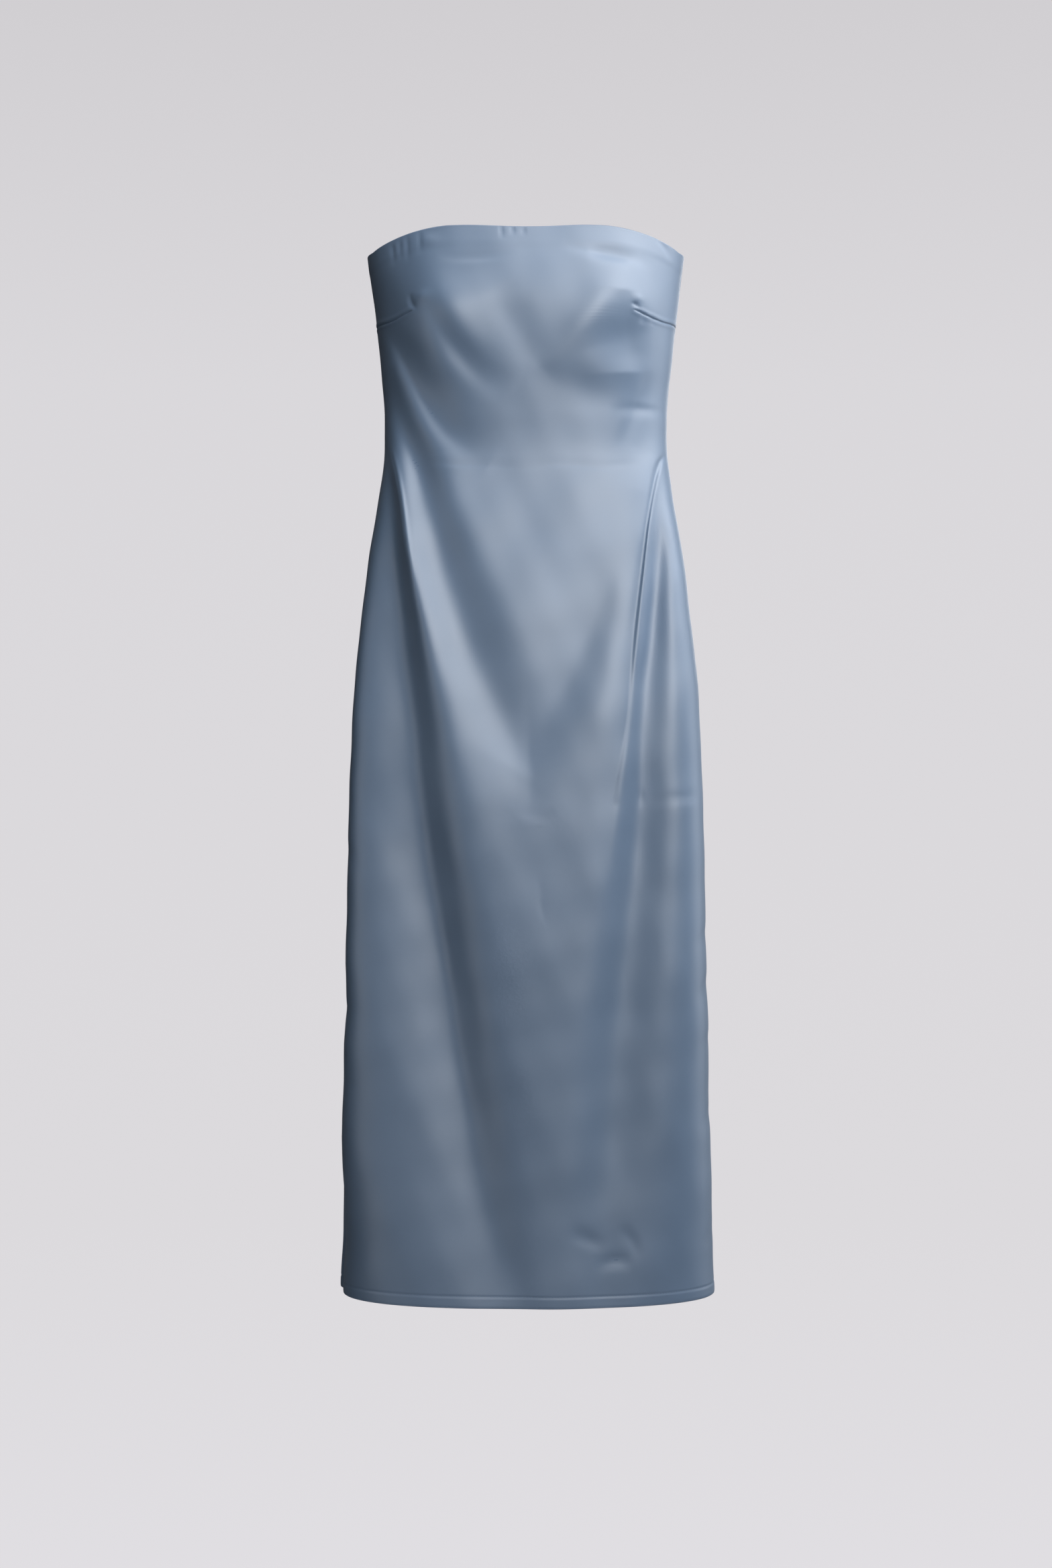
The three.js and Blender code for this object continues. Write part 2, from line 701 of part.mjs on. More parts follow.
// The pull tab: a pin through the eye, an ear on each side of it, and a drop-shaped blade hanging below
function pullGeometry() {
  const { z, pinY } = sliderPlace();
  const round = new THREE.CylinderGeometry(PULL.pin, PULL.pin, 2 * PULL.earTo, ROUND);
  const pin = toSolid(round.rotateZ(Math.PI / 2).translate(0, pinY, z));
  const blade = new THREE.Shape();
  const bulbZ = z - PULL.length + PULL.bulbHalf;
  blade.moveTo(-PULL.neckHalf, z - PULL.top);
  blade.lineTo(-PULL.bulbHalf, bulbZ);
  blade.absarc(0, bulbZ, PULL.bulbHalf, Math.PI, 2 * Math.PI, false);
  blade.lineTo(PULL.neckHalf, z - PULL.top);
  blade.closePath();
  let solid = pin.add(bladeUpright(blade, pinY));
  const ear = new THREE.Shape();
  ear.absarc(pinY, z, PULL.ear, 0, Math.PI, false);
  ear.lineTo(pinY - PULL.thick / 2, z - PULL.top - PULL.thick);
  ear.lineTo(pinY + PULL.thick / 2, z - PULL.top - PULL.thick);
  ear.closePath();
  const middle = (PULL.earFrom + PULL.earTo) / 2;
  for (const side of [-1, 1]) solid = solid.add(plateAt(ear, PULL.earTo - PULL.earFrom, side * middle));
  return toGeometry(solid);
}

// The blade's outline is in X and Z; it is given its thickness along Y, centred on the pin
function bladeUpright(outline, pinY) {
  const depth = PULL.thick;
  const options = { depth, bevelEnabled: false, curveSegments: ROUND / 2 };
  const slab = new THREE.ExtrudeGeometry(outline, options);
  slab.translate(0, 0, -depth / 2);
  slab.applyMatrix4(new THREE.Matrix4().set(1, 0, 0, 0, 0, 0, -1, pinY, 0, 1, 0, 0, 0, 0, 0, 1));
  return toSolid(slab);
}

const satin = new THREE.MeshStandardMaterial({ color: 0x7e8fa6, roughness: 0.4, metalness: 0 });
const tapeCloth = new THREE.MeshStandardMaterial({ color: 0x66768c, roughness: 0.8, metalness: 0 });
const lacquer = new THREE.MeshStandardMaterial({ color: 0x74869d, roughness: 0.35, metalness: 0.4 });

function piece(name, geometry, material) {
  geometry.computeVertexNormals();
  const mesh = new THREE.Mesh(geometry, material);
  mesh.name = name;
  return mesh;
}

const dress = new THREE.Group();
dress.name = "strapless_dress";
dress.add(piece("front", frontGeometry(), satin));
dress.add(piece("back_left", backGeometry(-1), satin));
dress.add(piece("back_right", backGeometry(1), satin));
dress.add(piece("zip_tape_left", tapeGeometry(-1), tapeCloth));
dress.add(piece("zip_tape_right", tapeGeometry(1), tapeCloth));
dress.add(piece("zip_slider", sliderGeometry(), lacquer));
dress.add(piece("zip_pull", pullGeometry(), lacquer));

export default dress;
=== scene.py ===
"""A strapless midi dress in dusty blue satin: hollow, filled out as when worn, with no wearer."""

import math

import bpy
import numpy as np
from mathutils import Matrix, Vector


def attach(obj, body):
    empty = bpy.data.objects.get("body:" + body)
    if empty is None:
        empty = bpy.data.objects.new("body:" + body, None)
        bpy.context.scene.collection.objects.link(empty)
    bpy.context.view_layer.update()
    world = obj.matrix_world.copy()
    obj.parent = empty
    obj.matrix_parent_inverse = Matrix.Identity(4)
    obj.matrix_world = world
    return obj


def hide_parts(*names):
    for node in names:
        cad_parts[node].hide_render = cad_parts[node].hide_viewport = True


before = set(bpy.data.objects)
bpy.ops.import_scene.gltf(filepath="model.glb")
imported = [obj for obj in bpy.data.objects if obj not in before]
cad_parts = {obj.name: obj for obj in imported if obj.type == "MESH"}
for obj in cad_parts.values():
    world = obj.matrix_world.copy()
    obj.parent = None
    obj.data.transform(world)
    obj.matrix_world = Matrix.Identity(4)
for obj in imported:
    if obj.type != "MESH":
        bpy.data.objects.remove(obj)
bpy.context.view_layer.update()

MM = 0.001
PHOTO = {"width": 1568, "height": 2337}

# Lengths are in millimetres unless they say metres. Left and right are the viewer's, looking at the front,
# which faces -Y.

# Horizontal sections, top to bottom. half: half width. front, back: depth from the side seams' plane.
# The squares shape the front's left and right side and the back: 2 is an ellipse, more is squarer.
SECTION_COLUMNS = ("at", "z", "half", "front", "back", "left_square", "right_square", "back_square")
SECTIONS = [
    ("neck edge", 82, 166.5, 93, 93, 2.5, 2.5, 2.3),
    ("over bust", 40, 162, 106, 95, 2.35, 2.35, 2.3),
    ("bust line", 0, 156.5, 112, 93, 2.3, 2.3, 2.3),
    ("under bust", -55, 150.7, 106, 85, 2.4, 2.4, 2.3),
    ("high waist", -105, 147, 97.5, 78, 2.6, 2.5, 2.35),
    ("waist", -150, 147.6, 93, 77, 3.4, 2.9, 2.4),
    ("high hip", -255, 163, 103, 103, 6.0, 4.5, 2.5),
    ("hip", -330, 171.8, 110, 118, 7.6, 4.8, 2.6),
    ("seat", -430, 179.6, 116, 119, 8.4, 5.2, 2.8),
    ("thigh", -630, 185.3, 115, 111, 7.0, 4.8, 2.8),
    ("knee", -830, 190.3, 111, 107, 4.4, 3.6, 2.8),
    ("hem", -1014, 196, 110, 106, 2.8, 2.5, 2.6),
]
NECK = {
    "peak": 82.9, "dip": 2.2, "dip_reach": 66, "side": 63.5, "back": 52,
    "fall_from": 0.47, "fall_to": 0.97, "fall_power": 1.75, "level_below": -20,
}
HEM_Z = -1013.5
HEM_RISE = {"side": 2.5, "above": 90}  # the hem is a little higher at the side seams
CUP = {"x": 95, "z": -8, "reach_x": 40, "reach_z": 47, "height": 15}

# Folds, as in the solids and finer. Down each line: x, z, half width left and right of it, and depth.
# "trough" sinks along the line, "left" sinks the cloth left of the line, "right" the cloth right of it.
# Left and right are as seen when going along the line on the front. A depth below 0 stands out.
FOLDS = [
    ("left hip tuck", "front", "left", [
        (-146, -116, 4, 3, 0), (-140, -148, 5, 3, 8), (-133, -184, 6, 3, 19), (-126.5, -233, 8, 4, 29),
        (-120, -282, 10, 7, 36), (-110, -360, 13, 14, 41),
        (-102, -440, 13, 24, 39), (-91, -553, 13, 32, 37), (-70, -690, 12, 42, 31), (-49, -826, 14, 48, 21),
        (-26, -940, 18, 44, 10), (-6, -1040, 20, 38, 0),
    ]),
    ("valley beside the left hip tuck", "front", "trough", [
        (-104, -470, 30, 16, 0), (-92, -580, 34, 18, 5), (-72, -710, 34, 20, 7), (-52, -840, 34, 22, 6),
        (-26, -950, 34, 24, 4), (-6, -1040, 34, 24, 0),
    ]),
    ("left arm of the hip swag", "front", "trough", [
        (-144, -56, 6, 7, 0), (-134, -92, 9, 11, 6), (-122, -127, 11, 14, 10), (-109, -165, 14, 17, 12),
        (-97, -214, 22, 20, 11), (-81, -275, 28, 26, 12.5), (-63, -332, 32, 30, 12), (-42, -384, 34, 32, 11),
        (-22, -430, 34, 30, 9), (-3, -472, 32, 30, 5), (16, -514, 30, 30, 0),
    ]),
    ("right arm of the hip swag", "front", "trough", [
        (112, -185, 26, 20, 0), (84, -275, 34, 24, 4.5), (48, -358, 36, 28, 7), (12, -424, 34, 30, 6),
        (-14, -468, 30, 30, 0),
    ]),
    ("right hip tuck", "front", "trough", [
        (143, -148, 7, 3, 0), (136, -162, 9, 2.4, 1.8), (130.5, -179, 11, 2.2, 2.4), (121, -230, 14, 2.4, 3),
        (108, -335, 16, 4, 4), (100, -420, 16, 5, 3), (88, -490, 14, 6, 2), (76, -590, 14, 9, 0),
    ]),
    ("right side trough", "front", "trough", [
        (139, -158, 4, 6, 0), (134, -200, 6, 10, 6.5), (133, -254, 9, 13, 14), (127, -330, 11, 18, 16),
        (119, -410, 13, 24, 12), (116, -500, 17, 27, 13.5), (110, -590, 22, 30, 14.5),
        (100, -690, 27, 34, 14), (92, -790, 30, 38, 13), (86, -900, 32, 40, 9), (82, -1040, 34, 40, 0),
    ]),
    ("hollow under the right dart", "front", "trough", [
        (100, 16, 22, 12, 0), (99, -8, 26, 20, 7), (101, -27, 30, 22, 10), (104, -44, 30, 18, 7),
        (106, -66, 28, 14, 0),
    ]),
    ("first drape from the left cup", "front", "trough", [
        (-104, 10, 7, 10, 0), (-91, -14, 11, 13, 3.4), (-73, -41, 13, 14, 4.6), (-50, -66, 14, 16, 3.6),
        (-20, -90, 16, 18, 0),
    ]),
    ("second drape from the left side", "front", "trough", [
        (-144, -14, 4, 8, 0), (-131, -39, 7, 14, 6.5), (-119, -63, 8, 20, 9.5), (-103, -92, 10, 24, 9),
        (-85, -119, 12, 22, 6), (-62, -140, 14, 20, 3), (-36, -158, 16, 18, 0),
    ]),
    ("drape from the right cup", "front", "trough", [
        (88, 10, 12, 9, 0), (64, -12, 12, 14, -1.2), (40, -44, 14, 16, -1.6), (18, -66, 16, 16, 0),
    ]),
    ("hollow between the cups", "front", "trough", [
        (-34, 16, 16, 24, 0), (-16, -12, 18, 26, 1.6), (2, -38, 18, 24, 1.4), (16, -60, 18, 20, 0),
    ]),
    ("hollow beneath the bust", "front", "trough", [
        (96, -92, 18, 16, 0), (62, -84, 20, 20, 2), (30, -76, 20, 20, 1.6), (4, -70, 18, 18, 0),
    ]),
    ("left back tuck", "back", "left", [
        (-146, -140, 9, 7, 0), (-126, -255, 13, 11, 14), (-112, -420, 16, 18, 20), (-95, -640, 18, 28, 17),
        (-74, -900, 20, 36, 7), (-64, -1040, 20, 36, 0),
    ]),
    ("right back tuck", "back", "right", [
        (145, -144, 8, 10, 0), (128, -280, 12, 14, 13), (114, -470, 20, 16, 17), (102, -720, 30, 18, 12),
        (90, -920, 34, 20, 5), (84, -1040, 34, 20, 0),
    ]),
    ("left back swag", "back", "trough", [
        (-96, -300, 22, 26, 0), (-52, -470, 26, 32, 6), (-26, -660, 32, 34, 0),
    ]),
    ("right back swag", "back", "trough", [
        (88, -380, 26, 22, 0), (58, -560, 32, 26, 6), (44, -820, 34, 32, 0),
    ]),
]
# Small creases and puckers, with the same columns, sunk square to the cloth.
FRONT_CREASES = [
    # Waist crease
    [
        (-100, -156, 4, 5, 0), (-72, -160, 3, 6, 0.6), (-40, -161, 3.5, 7, 0.4), (-6, -163, 4, 8, 0.2),
        (34, -160, 3.5, 7, 0.45), (76, -162, 3.5, 6, 0.5), (118, -157, 5, 5, 0),
    ],
    # Crease over the right waist
    [(146, -100, 4, 5, 0), (126, -101, 4, 6, 0.7), (104, -102, 5, 7, 0.6), (84, -106, 6, 8, 0)],
    # Slant at the right waist
    [(128, -62, 7, 8, 0), (120, -84, 6, 8, 1.1), (106, -118, 6, 8, 1), (96, -146, 7, 8, 0)],
    # Comma at the left dart's tip
    [(-117.5, 14, 1.6, 2, 0), (-117, 6, 1.8, 2.4, 1.2), (-114, -1, 2, 3, 1), (-111, -5, 2, 3, 0)],
    # Comma at the right dart's tip
    [(108.5, 4, 2, 1.6, 0), (110.5, 2, 2, 1.8, 1.2), (113, -0.5, 2, 1.8, 0.8), (117, -2, 2, 1.6, 0)],
    # Pinches under the right dart
    [(119, -4, 1.5, 2, 0), (119, -10, 2, 2.4, 0.7), (117, -18, 3, 3, 0)],
    [(128, -6, 1.5, 2, 0), (129, -11, 2, 2.4, 0.5), (128, -18, 3, 3, 0)],
    # Puckers at the left neck
    [(-137, 68, 1.8, 2, 0), (-136, 60, 1.8, 2.2, 1.1), (-134, 44, 2.6, 2.6, 0)],
    [(-129, 72, 1.6, 1.8, 0), (-128.5, 63, 1.7, 2, 0.95), (-128, 50, 2.4, 2.6, 0)],
    [(-122, 75, 1.6, 1.8, 0), (-121, 65, 1.8, 2.2, 1.05), (-120, 46, 2.6, 2.6, 0)],
    [(-109, 80, 1.6, 1.8, 0), (-108, 69, 1.8, 2.4, 0.8), (-107, 52, 3, 3, 0)],
    # Puckers at the centre neck
    [(-25, 82, 1.5, 1.5, 0), (-25, 76, 1.5, 1.8, 0.75), (-24, 66, 2, 2, 0)],
    [(-15, 82, 1.5, 1.5, 0), (-14, 77, 1.5, 2, 0.7), (-14, 70, 2, 2, 0)],
    [(-3, 81, 1.5, 1.5, 0), (-3, 76, 1.5, 2, 0.6), (-3, 70, 2, 2, 0)],
    # Dimple at the right neck
    [(132, 74, 3, 3, 0), (141, 65, 3, 4, 0.9), (150, 52, 4, 4, 0)],
    # Creases along the facing
    [(36, 63, 6, 6, 0), (58, 57, 6, 7, 1.1), (82, 54, 6, 7, 1.4), (108, 50, 6, 7, 1), (130, 42, 7, 7, 0)],
    [(-90, 50, 5, 6, 0), (-62, 48, 5, 7, 0.8), (-36, 49, 5, 7, 0.8), (-10, 53, 6, 6, 0)],
    # Dark stretch of the right facing
    [(62, 56, 9, 6, 0), (78, 55, 10, 7, 1.7), (95, 52, 10, 7, 1.9), (112, 46, 9, 7, 0)],
    # Lip of the left hip tuck
    [
        (-137, -140, 1.6, 1.6, 0), (-131, -162, 1.6, 1.6, -0.8), (-125.5, -192, 1.8, 1.8, -1.1),
        (-119.5, -235, 2, 2, -1), (-112, -290, 2.6, 2.6, 0),
    ],
    # Edge of the right hip tuck
    [
        (145, -143, 2, 1.4, 0), (139, -152, 3, 1.5, 1.6), (135, -163, 4, 1.5, 2.2),
        (131, -179, 4, 1.6, 2.2), (126, -207, 4, 1.7, 2), (122, -227, 4, 1.8, 1.8),
        (116, -273, 5, 2, 1.4), (108, -335, 6, 2.4, 0.8), (102, -400, 8, 3, 0),
    ],
    # Line down the right seam
    [(148, -138, 2, 2, 0), (150, -160, 2, 2, 0.9), (155, -196, 2, 2.4, 0.8), (161, -240, 2.4, 3, 0)],
    # Centre line low on the hips
    [(0, -370, 6, 6, 0), (2.5, -425, 5, 6, 0.22), (4, -480, 5, 6, 0.2), (4, -522, 6, 6, 0)],
    # Short line across the thigh
    [(-10, -513, 3, 4, 0), (12, -516, 3, 4, 0.6), (34, -514, 3, 4, 0)],
    # Short line down the thigh
    [(13, -578, 2.5, 3, 0), (15, -600, 2.5, 3, 0.6), (18, -624, 3, 3, 0)],
    # Ticks at the right thigh
    [(111, -488, 3, 3, 0), (116, -497, 2.5, 3, 0.9), (112, -507, 3, 3, 0)],
    [(124, -503, 4, 5, 0), (142, -500, 4.5, 5.5, 0.6), (164, -497, 5, 6, 0.8), (180, -499, 5, 6, 0)],
    [(85, -503, 3, 3, 0), (92, -505, 2.6, 3, 0.6), (99, -508, 3, 3, 0)],
    # Dents over the hem
    [(42, -935, 8, 9, 0), (62, -944, 6, 8, 1.3), (82, -951, 7, 8, 0)],
    [(68, -973, 7, 7, 0), (90, -966, 5, 7, 1.5), (110, -969, 7, 8, 0)],
    [(95, -932, 6, 7, 0), (108, -947, 5, 6, 1.1), (114, -967, 6, 6, 0)],
    # Pulls at the right seam
    [(187, -628, 4, 5, 0), (182, -638, 4, 6, 0.8), (172, -656, 7, 8, 0)],
    [(188, -676, 4, 5, 0), (184, -690, 4, 6, 0.9), (176, -708, 6, 8, 0)],
    [(189, -736, 4, 5, 0), (186, -745, 4, 5, 0.6), (181, -756, 6, 7, 0)],
    [(191, -812, 4, 5, 0), (187, -826, 4, 6, 0.8), (176, -840, 6, 8, 0)],
    [(193, -934, 4, 5, 0), (189, -948, 4, 6, 0.7), (182, -960, 6, 7, 0)],
    # Pulls at the left seam
    [(-184, -540, 5, 4, 0), (-180, -554, 6, 5, 0.6), (-170, -574, 8, 7, 0)],
    [(-188, -705, 5, 4, 0), (-185, -716, 6, 5, 0.5), (-178, -728, 7, 6, 0)],
]
BACK_CREASES = [
    # Crease across the seat, left and right of the seam
    [(-58, -286, 5, 6, 0), (-20, -294, 4, 6, 1), (-2, -298, 4, 5, 0.9)],
    [(2, -302, 4, 5, 0.9), (24, -300, 4, 6, 0.8), (54, -292, 5, 6, 0)],
    # Pulls at the right back seam
    [(184, -520, 4, 5, 0), (178, -533, 5, 6, 0.8), (164, -552, 7, 8, 0)],
    [(190, -800, 4, 5, 0), (186, -811, 4, 6, 0.7), (175, -828, 6, 8, 0)],
    # Pull at the left back seam
    [(-189, -760, 5, 4, 0), (-184, -774, 6, 5, 0.8), (-170, -794, 8, 7, 0)],
    # Folds over the back waist
    [(-124, -112, 7, 8, 0), (-92, -128, 6, 9, 0.9), (-50, -138, 6, 9, 0.4), (-14, -141, 6, 7, 0)],
    [(22, -150, 7, 7, 0), (52, -146, 6, 9, 0.5), (92, -132, 6, 9, 1), (124, -110, 7, 8, 0)],
]
# Small swellings: the cloth eased at the neck edge and at the darts' tips, and the seat. Each has its face,
# x, z, reach across and down, and height.
BUMPS = [
    ("left neck edge", "front", -99, 68, 10, 6, 0.9),
    ("left dart's tip", "front", -105, 9, 7, 6, 1.3),
    ("right dart's tip", "front", 113, 8, 5, 4.5, 0.9),
    ("right seat", "back", 72, -330, 60, 90, 5),
    ("left seat", "back", -72, -330, 60, 90, 5),
]
# Slow ripples all over: wavelengths across and down, where each starts, in turns, and height.
RIPPLES = [(118, 163, 0.1, 0.32), (-74, 131, 0.45, 0.22), (223, -57, 0.7, 0.16), (-41, -88, 0.3, 0.09)]
STEP_STEEPNESS = 1.2
CURVE_STEPS = 8
FOLD_REACH = 3.2  # half widths over which a trough is worked out

# Lines where the columns crowd, for a crisp edge: how many times denser, how far around the line, and between
# which heights. They crowd slowly, over the height "fade", so that the columns don't run askew.
CRISP = {
    "right hip tuck": {"times": 3, "reach": 9, "top": -70, "bottom": -680, "fade": 160},
    "left hip tuck": {"times": 2, "reach": 14, "top": -60, "bottom": -1100, "fade": 180},
}

# Low on the left side the seam is drawn round to the front, and a strip of the back shows. z, how far
SEAM_PULL = [(-670, 0), (-712, 2.5), (-750, 0.3), (-850, 0), (-905, 4), (-955, 6.5), (-1014, 6.5)]
SEAM_PULL_REACH = {"front": 40, "back": 14}

# Seams. The darts run from the side seam up to the cup.
SEAM_GAP = 0.08
DARTS = [
    [(-157, -10), (-144, -11.5), (-132.5, -10), (-116.5, -4.5)],
    [(157, -10), (141, -11.6), (126, -9), (111.5, -4)],
]
DART = {
    "width": 0.7, "depth": 1.1, "over": 0.45, "under": 0.35, "puff_at": 2.6, "puff_width": 2.2, "reach": 60,
}
BACK_DART = {
    "x": 66, "top": -55, "bottom": -250, "fade_top": 30, "fade_bottom": 50, "puff": 0.4,
    "crowd": 5, "crowd_reach": 4,
}
FACING = {"width": 20, "step": 5, "height": 0.4, "thick": 1.5}
HEM = {"width": 12, "thick": 1.7, "groove": 0.3, "groove_width": 1.1, "puff": 0.25, "round": 3}
TURN_STEP = 1.5
CLOTH_THICK = 0.6
EDGE_ROUND = 0.75
EDGE_FADE = 1.2


def smooth(t):
    c = np.clip(t, 0, 1)
    return c * c * (3 - 2 * c)


def bell(offset, reach):
    return np.exp(-((offset / reach) ** 2))


def between(column, z):
    """A cubic through the sections' values of one column, with slopes from the neighbouring sections."""
    levels = np.array([row[1] for row in SECTIONS], float)
    values = np.array([row[SECTION_COLUMNS.index(column)] for row in SECTIONS], float)
    last = len(levels) - 1
    above, below = np.maximum(np.arange(last + 1) - 1, 0), np.minimum(np.arange(last + 1) + 1, last)
    slopes = (values[below] - values[above]) / (levels[below] - levels[above])
    i = np.clip(np.searchsorted(-levels, -np.asarray(z, float)) - 1, 0, last - 1)
    run = levels[i + 1] - levels[i]
    t = np.clip((z - levels[i]) / run, 0, 1)
    bend = t * (1 - t) * run * (slopes[i] * (1 - t) - slopes[i + 1] * t)
    return values[i] + (values[i + 1] - values[i]) * smooth(t) + bend


def spread(points):
    """Points along a line, made smooth, with its widths and depth carried along."""
    p = np.array(points, float)
    ends = np.vstack([p[:1], p, p[-1:]])
    t = np.linspace(0, 1, CURVE_STEPS, endpoint=False)[:, None]
    rows = []
    for before, a, b, after in zip(ends, ends[1:], ends[2:], ends[3:]):
        square = (2 * before - 5 * a + 4 * b - after) * t**2
        rows.append((2 * a + (b - before) * t + square + (3 * (a - b) + after - before) * t**3) / 2)
    return np.vstack([*rows, p[-1:]])


def nearest_on(line, x, z):
    """How far right of the line each x, z lies, and the line's other values at its nearest point."""
    best = np.full(x.shape, np.inf)
    offset = np.zeros(x.shape)
    values = np.zeros((line.shape[1] - 2, *x.shape))
    for a, b in zip(line, line[1:]):
        dx, dz = b[0] - a[0], b[1] - a[1]
        t = np.clip(((x - a[0]) * dx + (z - a[1]) * dz) / (dx * dx + dz * dz), 0, 1)
        px, pz = x - a[0] - t * dx, z - a[1] - t * dz
        distance = np.hypot(px, pz)
        nearer = distance < best
        best = np.where(nearer, distance, best)
        offset = np.where(nearer, np.sign(dx * pz - dz * px) * distance, offset)
        for k in range(len(values)):
            values[k] = np.where(nearer, a[k + 2] + t * (b[k + 2] - a[k + 2]), values[k])
    return offset, values


def fold_out(shape, line, x, z):
    """How far one fold moves the cloth out at each place."""
    out = np.zeros(x.shape)
    near = np.ones(x.shape, bool)
    if shape == "trough":
        reach = FOLD_REACH * line[:, 2:4].max()
        low, high = line[:, :2].min(axis=0) - reach, line[:, :2].max(axis=0) + reach
        near = (x > low[0]) & (x < high[0]) & (z > low[1]) & (z < high[1])
    if not near.any():
        return out
    offset, (left, right, depth) = nearest_on(line, x[near], z[near])
    s = offset / np.where(offset < 0, left, right)
    if shape == "trough":
        out[near] = -depth * np.exp(-s * s)
        return out
    passed = np.tanh(STEP_STEEPNESS * np.abs(s))
    sunk_right = np.where(offset < 0, left * (1 - passed), left + right * passed) / (left + right)
    out[near] = -depth * (sunk_right if shape == "right" else 1 - sunk_right)
    return out


FOLD_LINES = {name: (face, shape, spread(points)) for name, face, shape, points in FOLDS}
CREASE_LINES = {
    "front": [spread(points) for points in FRONT_CREASES],
    "back": [spread(points) for points in BACK_CREASES],
}


def face_folds(face, x, z):
    out = np.zeros(x.shape)
    if face == "front":
        out += CUP["height"] * bell(z - CUP["z"], CUP["reach_z"]) * bell(np.abs(x) - CUP["x"], CUP["reach_x"])
    for fold_face, shape, line in FOLD_LINES.values():
        if fold_face == face:
            out += fold_out(shape, line, x, z)
    return out


def height_of(level, face, x):
    """Rows near the top follow the neck edge, and rows near the hem rise a little towards the side seams."""
    share = np.clip(np.abs(x) / between("half", NECK["side"]), 0, 1)
    if face == "front":
        fallen = (share - NECK["fall_from"]) / (NECK["fall_to"] - NECK["fall_from"])
        fall = np.clip(fallen, 0, 1) ** NECK["fall_power"]
        dip = NECK["dip"] * np.clip(1 - (x / NECK["dip_reach"]) ** 2, 0, 1) ** 2
        drop = fall * (NECK["peak"] - NECK["side"]) + dip
    else:
        drop = NECK["peak"] - NECK["back"] - (NECK["side"] - NECK["back"]) * smooth(share)
    follow = smooth((level - NECK["level_below"]) / (NECK["peak"] - NECK["level_below"]))
    rise = HEM_RISE["side"] * np.clip(np.abs(x) / between("half", HEM_Z), 0, 1) ** 2
    near_hem = smooth((HEM_Z + HEM_RISE["above"] - level) / HEM_RISE["above"])
    return level - drop * follow + rise * near_hem


def square_at(face, across, z):
    if face == "back":
        return between("back_square", z)
    return np.where(across < 0, between("left_square", z), between("right_square", z))


def depth_share(x, half, square):
    """How deep a section is at x, as a share of its depth at the middle."""
    return (1 - np.clip(np.abs(x) / half, 0, 1) ** square) ** (1 / square)


def cloth_point(face, across, level):
    """The cloth's outside where across runs from -1 at the left seam to 1 at the right seam."""
    z = height_of(level, face, between("half", level) * across)
    half = between("half", z)
    x = half * across
    share = depth_share(x, half, square_at(face, across, z))
    depth = np.maximum(SEAM_GAP / 2, share * (between(face, z) + face_folds(face, x, z)))
    pull_z, pull = np.array(SEAM_PULL, float).T
    inward = np.interp(-z, -pull_z, pull)
    from_seam = half + x if face == "front" else np.where(x < 0, depth, np.inf)
    x = x + inward * bell(from_seam, SEAM_PULL_REACH[face])
    return np.stack([x, -depth if face == "front" else depth, z], axis=-1)


def dart_relief(points, x, z):
    """A crisp sewn line with the upper cloth a little proud of the lower."""
    line = np.array(points, float)
    fine = spread(np.column_stack([line, np.ones(len(line))]))
    out = np.zeros(x.shape)
    near = (np.abs(z - line[:, 1].mean()) < DART["reach"]) & (np.abs(x - line[:, 0].mean()) < DART["reach"])
    offset, _ = nearest_on(fine, x[near], z[near])
    away = np.abs(offset)
    order = np.argsort(fine[:, 0])
    above = z[near] > np.interp(x[near], fine[order, 0], fine[order, 1])
    puff = np.where(above, DART["over"], DART["under"]) * bell(away - DART["puff_at"], DART["puff_width"])
    out[near] = puff - DART["depth"] * bell(away, DART["width"])
    return out


def back_dart_run(z):
    """How much of the back dart there is at a height: it fades out at both ends."""
    from_top = smooth((BACK_DART["top"] - z) / BACK_DART["fade_top"])
    return from_top * smooth((z - BACK_DART["bottom"]) / BACK_DART["fade_bottom"])


def relief_at(face, x, z, level):
    """Seams, turned edges, creases and ripples, as height square to the cloth."""
    out = np.zeros(x.shape)
    below_edge = NECK["peak"] - level
    above_hem = level - HEM_Z
    past_facing = (below_edge - FACING["width"] + FACING["step"]) / (2 * FACING["step"])
    out += FACING["height"] * (1 - smooth(past_facing))
    out -= HEM["groove"] * bell(above_hem - HEM["width"], HEM["groove_width"])
    turned = 1 - smooth((above_hem - HEM["width"] + HEM["round"]) / HEM["round"])
    out += HEM["puff"] * smooth(above_hem / HEM["round"]) * turned
    for wave_x, wave_z, turn, height in RIPPLES:
        out += height * np.sin(2 * math.pi * (x / wave_x + z / wave_z + turn))
    for _, bump_face, bump_x, bump_z, reach_x, reach_z, height in BUMPS:
        if bump_face == face:
            out += height * bell(x - bump_x, reach_x) * bell(z - bump_z, reach_z)
    for line in CREASE_LINES[face]:
        out += fold_out("trough", line, x, z)
    if face == "front":
        for points in DARTS:
            out += dart_relief(points, x, z)
    else:
        run = back_dart_run(z)
        away = np.abs(np.abs(x) - BACK_DART["x"])
        out += run * (BACK_DART["puff"] * bell(away - DART["puff_at"], DART["puff_width"]))
        out -= run * DART["depth"] * bell(away, DART["width"])
    return out


